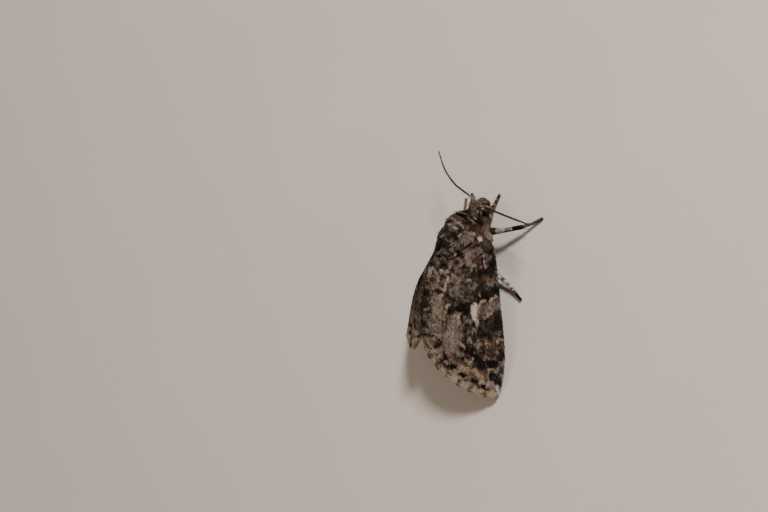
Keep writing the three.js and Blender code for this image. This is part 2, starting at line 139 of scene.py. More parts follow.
# Joints of each leg: root in the thorax, knee, ankle, middle of the foot and toe.
LEGS = {
    "leg_fore_right": [(-0.3, -1.4, 1.6), (0.42, -1.94, 0.95), (0.64, -2.64, 0.7), (0.7, -3.27, 0.38),
                       (0.76, -3.93, 0.16)],
    "leg_mid_right": [(-0.9, -0.8, 2.2), (-2.65, -1.68, 1.6), (-4.2, -2.78, 0.85), (-4.92, -3.48, 0.38),
                      (-5.6, -4.24, 0.16)],
    "leg_hind_right": [(-0.8, 1, 2), (-2, 2.6, 1.35), (-3.5, 3.05, 0.7), (-4.9, 3.5, 0.34),
                       (-6.15, 4, 0.16)],
    "leg_fore_left": [(0.6, -1.3, 2), (1.9, -2.5, 1.9), (3.1, -2.35, 1), (3.75, -2.35, 0.46),
                      (4.4, -2.47, 0.16)],
    "leg_mid_left": [(0.9, -0.3, 2.2), (2.9, 0.6, 1.9), (4, -0.2, 0.9), (4.5, -0.9, 0.42), (5, -1.65, 0.16)],
    "leg_hind_left": [(0.8, 1, 2), (2.4, 3.4, 1.6), (3.3, 6.2, 0.75), (3.9, 7.6, 0.34), (4.5, 9, 0.16)],
}
# Thickness of thigh and shin: shares of the length, and the radius at each.
THIGH_RADII = ((0, 0.26), (0.35, 0.3), (0.9, 0.19), (1, 0.15))
SHIN_RADII = ((0, 0.15), (0.12, 0.17), (0.8, 0.18), (1, 0.15))
SPUR_PLACES = {"fore": (), "mid": (1.0,), "hind": (0.55, 1.0)}
SPUR_LENGTH = 0.6
FOOT_SEGMENTS = (0.38, 0.2, 0.16, 0.13, 0.13)

ANTENNAE = {
    "antenna_left": [(0.38, -2.85, 3.4), (0.68, -3.5, 3.58), (3.15, -4, 4), (5.05, -4.7, 4),
                     (6.9, -5.9, 3.8)],
    "antenna_right": [(-0.45, -2.85, 3.5), (-0.9, -3.45, 3.85), (-3.1, -3.66, 3.3), (-5.3, -4.02, 3.4),
                      (-7.6, -4.5, 3.8)],
}
ANTENNA_SEGMENTS = 72
# Thickness of an antenna: shares of its length, and the share of its full radius at each.
ANTENNA_TAPER = ((0, 0.7), (0.012, 1.1), (0.04, 1.15), (0.055, 0.8), (0.08, 0.85), (0.75, 0.7), (1, 0.35))

# ---------- markings
KINDS = ("dark", "pale", "rust", "cream", "white")
# Marks of a forewing, laid one over another: kind, strength, and paths of places along and across the wing
# with the half width in millimetres at each.  Fine speckles come between the broad and the crisp ones.
BROAD_MARKS = [
    ("dark", 0.45, [(0.38, 0.12, 1.4), (0.5, 0.3, 1.6), (0.65, 0.2, 2.2), (0.78, 0.22, 1.8)]),
    ("dark", 0.5, [(0.02, 0.25, 0.9), (0.08, 0.3, 0.9)]),
    ("dark", 0.6, [(0.065, 0.55, 0.35), (0.075, 0.75, 0.4), (0.09, 0.95, 0.35)]),
    ("pale", 0.4, [(0.11, 0.55, 0.4), (0.13, 0.75, 0.55), (0.12, 0.95, 0.45)]),
    ("pale", 0.8, [(0.62, 0.58, 0.5), (0.7, 0.58, 0.9), (0.82, 0.64, 0.9)]),
    ("cream", 0.3, [(0.66, 0.57, 0.5), (0.74, 0.6, 0.8), (0.8, 0.66, 0.6)]),
    ("pale", 0.65, [(0.6, 0.85, 0.8), (0.7, 0.8, 0.9), (0.85, 0.9, 0.8)]),
    ("cream", 0.25, [(0.63, 0.82, 0.6), (0.74, 0.84, 0.7)]),
    ("pale", 0.75, [(0.86, 0.66, 0.5), (0.9, 0.8, 0.8), (0.92, 0.9, 0.6)]),
    ("pale", 0.3, [(0.4, 0.62, 0.5), (0.47, 0.6, 0.4)]),
    ("dark", 0.45, [(0.33, 0.38, 0.9), (0.38, 0.45, 0.9), (0.43, 0.5, 0.6)]),
    ("dark", 0.4, [(0.46, 0.43, 0.4), (0.48, 0.52, 0.3)]),
    ("dark", 0.3, [(0.34, 0.1, 0.6), (0.4, 0.2, 0.6)]),
    ("dark", 0.85, [(0.49, 0, 0.45), (0.56, 0.05, 0.6), (0.59, 0.14, 0.6), (0.63, 0.22, 0.5),
        (0.66, 0.31, 0.35)]),
    ("dark", 0.8, [(0.64, 0.3, 0.3), (0.7, 0.35, 0.22)]),
    ("dark", 0.7, [(0.71, 0, 0.3), (0.76, 0.04, 0.3)]),
    ("dark", 0.9, [(0.79, 0.08, 0.4), (0.8, 0.15, 0.5), (0.81, 0.22, 0.5), (0.8, 0.3, 0.55),
        (0.77, 0.37, 0.35)]),
    ("dark", 0.75, [(0.77, 0.38, 0.3), (0.79, 0.42, 0.17), (0.79, 0.48, 0.15), (0.8, 0.53, 0.17)]),
    ("dark", 0.8, [(0.845, 0.18, 0.2), (0.845, 0.29, 0.2)]),
]
WING_MARKS = [
    # Shoulder.
    ("rust", 0.5, [(0.01, 0.2, 0.3), (0.04, 0.25, 0.28), (0.07, 0.27, 0.2)]),
    ("dark", 0.5, [(0.03, 0.15, 0.16), (0.09, 0.14, 0.2), (0.13, 0.12, 0.2)]),
    ("white", 0.95, [(0, 0.44, 0.24), (0.02, 0.44, 0.2)]),
    # Root.
    ("dark", 0.95, [(0.115, 0.11, 0.2), (0.13, 0.12, 0.22)], [(0.17, 0.06, 0.2), (0.2, 0.07, 0.42),
        (0.235, 0.11, 0.4), (0.26, 0.2, 0.28), (0.28, 0.29, 0.35)]),
    ("dark", 0.8, [(0.285, 0.3, 0.25), (0.3, 0.35, 0.15)]),
    ("rust", 0.45, [(0.175, 0.42, 0.25), (0.21, 0.4, 0.4), (0.2, 0.47, 0.3)]),
    ("dark", 0.55, [(0.17, 0.42, 0.2), (0.215, 0.39, 0.25), (0.2, 0.5, 0.25)]),
    ("pale", 0.45, [(0.165, 0.13, 0.1), (0.185, 0.2, 0.12)]),
    ("pale", 0.5, [(0.14, 0.34, 0.1), (0.12, 0.42, 0.12)]),
    ("dark", 0.95, [(0.145, 0.37, 0.17), (0.15, 0.4, 0.15)]),
    ("dark", 0.9, [(0.182, 0.315, 0.14), (0.19, 0.335, 0.12)], [(0.218, 0.285, 0.17)]),
    ("white", 0.4, [(0.194, 0.25, 0.14), (0.202, 0.26, 0.12)]),
    ("white", 0.55, [(0.159, 0.3, 0.11), (0.16, 0.32, 0.1)]),
    ("pale", 0.8, [(0.222, 0.215, 0.17), (0.228, 0.23, 0.17)]),
    ("pale", 0.6, [(0.243, 0.31, 0.17)]),
    ("cream", 0.7, [(0.243, 0.42, 0.2)]),
    ("pale", 0.6, [(0.245, 0.45, 0.15), (0.25, 0.51, 0.15)]),
    ("pale", 0.7, [(0.29, 0.45, 0.17)]),
    ("pale", 0.75, [(0.26, 0.54, 0.22), (0.235, 0.565, 0.28), (0.2, 0.61, 0.3), (0.17, 0.68, 0.35),
        (0.145, 0.75, 0.3)]),
    ("pale", 0.6, [(0.175, 0.57, 0.12), (0.16, 0.6, 0.15)]),
    ("dark", 0.65, [(0.288, 0.53, 0.2), (0.29, 0.58, 0.28)]),
    ("pale", 0.65, [(0.255, 0.63, 0.2), (0.29, 0.65, 0.22)]),
    ("pale", 0.6, [(0.235, 0.77, 0.25), (0.24, 0.72, 0.2)]),
    ("pale", 0.75, [(0.325, 0.675, 0.15), (0.345, 0.655, 0.13)]),
    ("dark", 0.6, [(0.325, 0.71, 0.17), (0.345, 0.69, 0.15), (0.355, 0.73, 0.13)]),
    ("pale", 0.85, [(0.15, 0.83, 0.17), (0.135, 0.92, 0.2), (0.12, 1, 0.17)]),
    ("dark", 0.8, [(0.193, 0.8, 0.2), (0.18, 0.87, 0.25), (0.165, 0.93, 0.2), (0.155, 1, 0.15)]),
    ("cream", 0.8, [(0.208, 0.87, 0.08), (0.195, 0.93, 0.15), (0.178, 1, 0.15)]),
    ("dark", 0.7, [(0.22, 0.85, 0.15), (0.208, 0.94, 0.2), (0.2, 1, 0.15)]),
    ("pale", 0.9, [(0.343, 0.757, 0.16), (0.31, 0.79, 0.13), (0.285, 0.82, 0.13), (0.27, 0.84, 0.06)]),
    ("pale", 0.8, [(0.312, 0.85, 0.13), (0.295, 0.91, 0.17), (0.27, 1, 0.1)]),
    ("dark", 1, [(0.35, 0.8, 0.28), (0.338, 0.86, 0.3), (0.315, 0.92, 0.2), (0.283, 1, 0.15)]),
    ("pale", 0.55, [(0.35, 0.93, 0.2), (0.32, 0.98, 0.2)]),
    # Dark band from the leading edge inward.
    ("pale", 0.5, [(0.303, 0.05, 0.13), (0.328, 0.1, 0.2), (0.335, 0.16, 0.18), (0.305, 0.18, 0.1)]),
    ("rust", 0.6, [(0.31, 0.13, 0.13)]),
    ("rust", 0.8, [(0.305, 0.215, 0.15), (0.32, 0.23, 0.15)]),
    ("dark", 0.95, [(0.355, 0, 0.5), (0.378, 0.08, 0.45), (0.4, 0.15, 0.45), (0.42, 0.22, 0.4),
        (0.44, 0.28, 0.32)]),
    ("dark", 0.85, [(0.43, 0.3, 0.25), (0.45, 0.33, 0.3), (0.44, 0.38, 0.25)]),
    ("dark", 0.8, [(0.475, 0.42, 0.2), (0.477, 0.47, 0.2)]),
    ("pale", 0.5, [(0.42, 0.285, 0.1), (0.44, 0.285, 0.12)]),
    # Buff patch between the bands.
    ("pale", 0.5, [(0.425, 0, 0.34), (0.445, 0.07, 0.38), (0.475, 0.14, 0.46), (0.497, 0.2, 0.52),
        (0.512, 0.26, 0.45)]),
    ("rust", 0.35, [(0.41, 0.02, 0.2), (0.43, 0.04, 0.2)]),
    ("cream", 0.75, [(0.388, 0.04, 0.08), (0.405, 0.075, 0.12), (0.422, 0.115, 0.12), (0.44, 0.15, 0.1)]),
    ("dark", 0.45, [(0.43, 0.17, 0.15), (0.445, 0.165, 0.12)]),
    ("cream", 0.9, [(0.44, 0.205, 0.1), (0.45, 0.24, 0.11), (0.467, 0.275, 0.13), (0.49, 0.29, 0.12)]),
    ("cream", 0.5, [(0.475, 0.13, 0.12)]),
    ("dark", 0.75, [(0.453, 0.148, 0.1)], [(0.495, 0.145, 0.11), (0.5, 0.115, 0.07)]),
    ("dark", 0.5, [(0.468, 0.23, 0.17), (0.5, 0.245, 0.26), (0.525, 0.265, 0.17)]),
    ("rust", 0.9, [(0.513, 0.22, 0.12)]),
    ("rust", 0.8, [(0.518, 0.265, 0.15)]),
    ("dark", 0.35, [(0.52, 0.27, 0.13)]),
    ("cream", 0.75, [(0.505, 0.122, 0.09), (0.525, 0.16, 0.09), (0.54, 0.19, 0.1), (0.553, 0.24, 0.1)]),
    ("dark", 0.95, [(0.5, 0.085, 0.1), (0.52, 0.125, 0.1), (0.54, 0.155, 0.1), (0.563, 0.2, 0.15),
        (0.57, 0.25, 0.14)]),
    ("dark", 0.85, [(0.575, 0.27, 0.1), (0.605, 0.275, 0.17), (0.63, 0.28, 0.2)]),
    ("dark", 1, [(0.432, 0.225, 0.12), (0.45, 0.275, 0.14), (0.475, 0.315, 0.13), (0.475, 0.35, 0.1),
        (0.505, 0.4, 0.14)]),
    # White kidney mark.
    ("white", 0.95, [(0.497, 0.333, 0.26), (0.525, 0.35, 0.4), (0.56, 0.35, 0.34), (0.59, 0.34, 0.24)]),
    ("cream", 0.45, [(0.5, 0.305, 0.1), (0.53, 0.305, 0.17), (0.55, 0.32, 0.1)]),
    ("dark", 0.2, [(0.532, 0.345, 0.1)]),
    ("rust", 0.55, [(0.545, 0.298, 0.07), (0.57, 0.33, 0.08)]),
    ("cream", 0.8, [(0.575, 0.303, 0.1), (0.598, 0.305, 0.18), (0.613, 0.33, 0.13)]),
    ("dark", 0.9, [(0.595, 0.35, 0.1), (0.625, 0.36, 0.14)]),
    # Black blotch behind it.
    ("dark", 1, [(0.515, 0.43, 0.25), (0.545, 0.45, 0.5), (0.55, 0.52, 0.55), (0.545, 0.6, 0.42),
        (0.54, 0.64, 0.2)], [(0.58, 0.46, 0.3), (0.6, 0.5, 0.25)], [(0.588, 0.57, 0.12),
        (0.6, 0.62, 0.24), (0.61, 0.68, 0.26)]),
    ("pale", 0.25, [(0.54, 0.585, 0.22), (0.55, 0.61, 0.2)]),
    ("pale", 0.5, [(0.583, 0.45, 0.05), (0.6, 0.48, 0.09)], [(0.583, 0.52, 0.13), (0.592, 0.55, 0.09),
        (0.605, 0.6, 0.08)], [(0.485, 0.41, 0.08), (0.5, 0.46, 0.09)]),
    ("pale", 0.4, [(0.48, 0.52, 0.2), (0.475, 0.58, 0.25)]),
    ("pale", 0.45, [(0.503, 0.65, 0.1), (0.512, 0.69, 0.1)]),
    ("dark", 0.75, [(0.522, 0.66, 0.15), (0.523, 0.7, 0.12), (0.53, 0.735, 0.12), (0.515, 0.77, 0.15),
        (0.522, 0.85, 0.22)]),
    ("dark", 0.5, [(0.53, 0.86, 0.25)]),
    # Flecks of the middle and the trailing half.
    ("cream", 0.55, [(0.365, 0.42, 0.15), (0.365, 0.46, 0.17)]),
    ("pale", 0.55, [(0.385, 0.34, 0.12), (0.4, 0.37, 0.14)]),
    ("pale", 0.65, [(0.375, 0.565, 0.14), (0.395, 0.59, 0.12)], [(0.38, 0.64, 0.15), (0.38, 0.69, 0.17)]),
    ("pale", 0.55, [(0.41, 0.6, 0.12), (0.415, 0.65, 0.09), (0.42, 0.7, 0.09)]),
    ("pale", 0.6, [(0.425, 0.58, 0.12), (0.455, 0.6, 0.17), (0.448, 0.64, 0.14)]),
    ("dark", 0.6, [(0.43, 0.66, 0.15), (0.45, 0.71, 0.25)]),
    ("cream", 0.8, [(0.41, 0.74, 0.17), (0.44, 0.757, 0.1), (0.465, 0.767, 0.15), (0.5, 0.763, 0.13),
        (0.502, 0.83, 0.12)]),
    ("pale", 0.7, [(0.5, 0.83, 0.13), (0.505, 0.88, 0.15)]),
    ("pale", 0.85, [(0.37, 0.76, 0.2), (0.388, 0.79, 0.2)]),
    ("cream", 0.85, [(0.385, 0.84, 0.14), (0.393, 0.86, 0.14)]),
    ("dark", 0.65, [(0.415, 0.78, 0.17), (0.43, 0.82, 0.27)]),
    ("pale", 0.65, [(0.445, 0.79, 0.1), (0.463, 0.83, 0.1)]),
    ("dark", 0.5, [(0.477, 0.83, 0.12)]),
    ("cream", 0.7, [(0.462, 0.865, 0.12), (0.443, 0.882, 0.12)]),
    ("pale", 0.6, [(0.43, 0.89, 0.15), (0.42, 0.92, 0.2), (0.4, 0.97, 0.2)]),
    ("pale", 0.75, [(0.485, 0.895, 0.13), (0.52, 0.91, 0.14), (0.535, 0.94, 0.15)]),
    ("dark", 0.65, [(0.465, 0.935, 0.13)]),
    ("cream", 0.8, [(0.538, 0.785, 0.13), (0.553, 0.81, 0.17)]),
    ("white", 0.5, [(0.575, 0.81, 0.18), (0.58, 0.845, 0.17)]),
    ("pale", 0.85, [(0.556, 0.885, 0.13), (0.565, 0.895, 0.12)]),
    ("pale", 0.65, [(0.567, 0.94, 0.17)]),
    ("dark", 0.5, [(0.59, 0.94, 0.12)]),
    ("cream", 0.6, [(0.567, 0.68, 0.07), (0.575, 0.7, 0.1), (0.6, 0.715, 0.14)]),
    ("dark", 0.9, [(0.365, 0.985, 0.12), (0.39, 0.99, 0.13)]),
    ("dark", 1, [(0.485, 0.975, 0.12), (0.51, 0.985, 0.13)]),
    ("cream", 0.85, [(0.4, 1, 0.1), (0.5, 1, 0.1)]),
    ("dark", 0.85, [(0.643, 0.72, 0.12), (0.652, 0.765, 0.1)]),
    ("cream", 0.7, [(0.63, 0.71, 0.12), (0.635, 0.73, 0.1)]),
    ("pale", 0.5, [(0.66, 0.6, 0.35), (0.67, 0.65, 0.2)]),
    ("cream", 0.5, [(0.62, 0.83, 0.2), (0.655, 0.86, 0.2)]),
    ("dark", 0.5, [(0.63, 0.5, 0.1), (0.68, 0.54, 0.13), (0.715, 0.56, 0.15)], [(0.735, 0.7, 0.12),
        (0.75, 0.73, 0.12)]),
    ("dark", 0.55, [(0.71, 0.79, 0.14), (0.695, 0.83, 0.1)]),
    ("dark", 0.9, [(0.745, 0.865, 0.13)]),
    ("dark", 0.5, [(0.735, 0.95, 0.15)]),
    ("pale", 0.7, [(0.71, 0.89, 0.1), (0.718, 0.915, 0.14)]),
    ("cream", 0.7, [(0.768, 0.83, 0.1), (0.775, 0.845, 0.1)]),
    ("pale", 0.8, [(0.77, 0.87, 0.15), (0.79, 0.91, 0.2)]),
    ("dark", 0.55, [(0.8, 0.86, 0.1), (0.81, 0.92, 0.2), (0.83, 0.96, 0.17)]),
    ("cream", 0.75, [(0.8, 0.76, 0.14), (0.82, 0.785, 0.14)]),
    # Rusty bars and specks past the patch.
    ("cream", 0.6, [(0.635, 0, 0.14), (0.643, 0.05, 0.12), (0.665, 0.085, 0.13)]),
    ("rust", 0.6, [(0.665, 0.015, 0.17), (0.685, 0.04, 0.17)]),
    ("rust", 0.35, [(0.615, 0.21, 0.25)]),
    ("dark", 0.9, [(0.645, 0.12, 0.17), (0.65, 0.2, 0.17), (0.66, 0.26, 0.15)]),
    ("pale", 0.4, [(0.7, 0.08, 0.2)]),
    ("rust", 0.8, [(0.667, 0.11, 0.1), (0.685, 0.15, 0.18), (0.705, 0.175, 0.12)]),
    ("cream", 0.4, [(0.688, 0.15, 0.12)]),
    ("cream", 0.8, [(0.69, 0.2, 0.08), (0.698, 0.215, 0.11)]),
    ("rust", 0.4, [(0.73, 0.09, 0.2), (0.735, 0.13, 0.2)], [(0.73, 0.21, 0.22)]),
    ("cream", 0.5, [(0.706, 0.25, 0.1), (0.72, 0.29, 0.14), (0.733, 0.33, 0.08)]),
    ("rust", 0.5, [(0.75, 0.27, 0.15), (0.765, 0.3, 0.13)]),
    ("pale", 0.6, [(0.758, 0.09, 0.12), (0.768, 0.14, 0.1), (0.777, 0.18, 0.06)], [(0.77, 0.205, 0.1),
        (0.79, 0.22, 0.12)], [(0.775, 0.05, 0.13), (0.79, 0.02, 0.14)]),
    ("pale", 0.5, [(0.775, 0.335, 0.1)]),
    ("pale", 0.6, [(0.705, 0.39, 0.15), (0.725, 0.405, 0.2)]),
    ("dark", 0.75, [(0.695, 0.44, 0.12), (0.725, 0.46, 0.2), (0.745, 0.45, 0.12)]),
    ("cream", 0.75, [(0.773, 0.46, 0.15), (0.768, 0.485, 0.12)]),
    ("cream", 0.7, [(0.765, 0.505, 0.13), (0.775, 0.52, 0.1)]),
    ("dark", 0.75, [(0.785, 0.53, 0.12), (0.795, 0.545, 0.12)]),
    ("cream", 0.7, [(0.828, 0.085, 0.1), (0.828, 0.12, 0.1), (0.835, 0.17, 0.09)], [(0.81, 0.345, 0.1),
        (0.83, 0.35, 0.12), (0.84, 0.385, 0.09), (0.84, 0.43, 0.1)]),
    ("pale", 0.6, [(0.815, 0.46, 0.18), (0.827, 0.5, 0.18), (0.82, 0.55, 0.14)]),
    # Pale tip, black before it, and the rusty field along the margin.
    ("pale", 0.6, [(0.84, 0.06, 0.1), (0.853, 0.01, 0.12), (0.867, 0.03, 0.12)]),
    ("dark", 1, [(0.85, 0.045, 0.12)], [(0.855, 0.12, 0.27), (0.872, 0.09, 0.4), (0.885, 0.04, 0.33),
        (0.895, 0, 0.3)]),
    ("rust", 0.5, [(0.86, 0.15, 0.1), (0.885, 0.148, 0.12)]),
    ("pale", 0.6, [(0.87, 0.2, 0.3), (0.89, 0.3, 0.4), (0.89, 0.42, 0.4), (0.88, 0.55, 0.3)]),
    ("rust", 0.7, [(0.86, 0.18, 0.15), (0.885, 0.21, 0.33), (0.885, 0.29, 0.4), (0.895, 0.34, 0.2)]),
    ("cream", 0.6, [(0.885, 0.18, 0.15), (0.895, 0.22, 0.25), (0.87, 0.3, 0.22), (0.875, 0.33, 0.1)]),
    ("rust", 0.8, [(0.865, 0.34, 0.1), (0.89, 0.33, 0.1), (0.9, 0.36, 0.08)]),
    ("cream", 0.6, [(0.875, 0.37, 0.15), (0.888, 0.41, 0.25), (0.895, 0.45, 0.2)]),
    ("rust", 0.85, [(0.855, 0.41, 0.1), (0.86, 0.48, 0.16), (0.875, 0.54, 0.18), (0.87, 0.6, 0.14)]),
    ("dark", 0.35, [(0.86, 0.42, 0.1), (0.862, 0.51, 0.12), (0.875, 0.56, 0.1)]),
    ("pale", 0.7, [(0.86, 0.63, 0.2), (0.84, 0.67, 0.25)]),
    ("pale", 0.95, [(0.905, 0.13, 0.2), (0.92, 0.08, 0.38), (0.945, 0.06, 0.25)]),
    ("white", 0.85, [(0.92, 0.035, 0.15), (0.94, 0.005, 0.2)]),
    ("white", 0.5, [(0.91, 0.12, 0.15), (0.93, 0.13, 0.15)]),
    ("dark", 0.5, [(0.941, 0.06, 0.09)]),
    ("dark", 0.35, [(0.92, 0.1, 0.08)]),
]
# The outer margin: marks between the veins, the pale ground of the fringe and its dark checks.
MARGIN_MARKS = [
    ("cream", 0.75, [(0.91, 0.17, 0.15), (0.91, 0.2, 0.2), (0.925, 0.22, 0.12)]),
    ("pale", 0.8, [(0.945, 0.27, 0.13), (0.945, 0.33, 0.13), (0.955, 0.37, 0.13)]),
    ("pale", 0.7, [(0.9, 0.31, 0.1), (0.915, 0.34, 0.15), (0.935, 0.39, 0.08), (0.945, 0.43, 0.1)]),
    ("cream", 0.6, [(0.91, 0.46, 0.12), (0.925, 0.49, 0.15), (0.93, 0.53, 0.14)], [(0.91, 0.6, 0.1),
        (0.92, 0.64, 0.14), (0.925, 0.67, 0.1)]),
    ("cream", 0.75, [(0.85, 0.74, 0.09), (0.88, 0.755, 0.11), (0.9, 0.79, 0.09), (0.915, 0.82, 0.14)]),
    ("cream", 0.7, [(0.91, 0.735, 0.13)]),
    ("dark", 1, [(0.948, 0.11, 0.08), (0.94, 0.15, 0.16), (0.937, 0.175, 0.17)], [(0.945, 0.215, 0.08),
        (0.933, 0.26, 0.17), (0.924, 0.285, 0.26), (0.93, 0.31, 0.12)], [(0.915, 0.375, 0.1),
        (0.921, 0.41, 0.24), (0.928, 0.455, 0.1)], [(0.905, 0.51, 0.2), (0.91, 0.555, 0.2),
        (0.912, 0.585, 0.1)], [(0.902, 0.64, 0.17), (0.898, 0.67, 0.28), (0.885, 0.69, 0.22)]),
    ("dark", 0.95, [(0.85, 0.755, 0.17), (0.87, 0.785, 0.32), (0.885, 0.81, 0.25), (0.897, 0.83, 0.12)]),
    ("dark", 0.5, [(0.843, 0.72, 0.14)]),
    ("dark", 0.65, [(0.92, 0.765, 0.14), (0.935, 0.8, 0.15)]),
    ("dark", 0.9, [(0.845, 0.86, 0.12), (0.858, 0.91, 0.22), (0.88, 0.95, 0.17), (0.92, 1, 0.1)]),
    ("dark", 0.75, [(0.92, 0.86, 0.12), (0.935, 0.9, 0.18), (0.96, 0.95, 0.15)]),
    ("cream", 0.5, [(0.89, 0.91, 0.1), (0.92, 0.955, 0.12), (0.945, 1, 0.1)]),
    ("dark", 0.6, [(0.825, 0.835, 0.08), (0.85, 0.86, 0.1)]),
    ("pale", 0.6, [(0.82, 0.87, 0.08), (0.845, 0.91, 0.1), (0.87, 0.97, 0.1)]),
    ("cream", 0.6, [(0.95, 0.42, 0.1), (0.945, 0.49, 0.17), (0.945, 0.58, 0.15)]),
    ("cream", 0.9, [(0.972, 0.06, 0.27)], [(0.975, 0.21, 0.27)], [(0.965, 0.34, 0.17), (0.978, 0.37, 0.2)]),
    ("cream", 1, [(0.965, 0.495, 0.27), (0.978, 0.51, 0.2)]),
    ("cream", 0.9, [(0.968, 0.64, 0.17), (0.98, 0.665, 0.2)]),
    ("cream", 0.8, [(0.965, 0.79, 0.12), (0.98, 0.81, 0.17)]),
    ("cream", 0.7, [(0.97, 0.9, 0.2), (0.98, 0.97, 0.2)]),
    ("dark", 0.8, [(0.958, 0.09, 0.06), (0.968, 0.078, 0.07)]),
    ("rust", 0.9, [(0.97, 0.115, 0.13), (0.975, 0.155, 0.15)]),
    ("dark", 0.5, [(0.972, 0.14, 0.13)]),
    ("dark", 0.6, [(0.958, 0.21, 0.12)]),
    ("dark", 0.9, [(0.968, 0.27, 0.14), (0.97, 0.31, 0.17)]),
    ("dark", 0.95, [(0.962, 0.415, 0.14), (0.965, 0.455, 0.17)]),
    ("dark", 0.9, [(0.962, 0.55, 0.15), (0.967, 0.6, 0.17)], [(0.962, 0.7, 0.15), (0.97, 0.76, 0.17)],
        [(0.96, 0.83, 0.2), (0.97, 0.865, 0.17)]),
]
FRINGE_START = 0.955  # along the wing, where the pale ground of the fringe begins
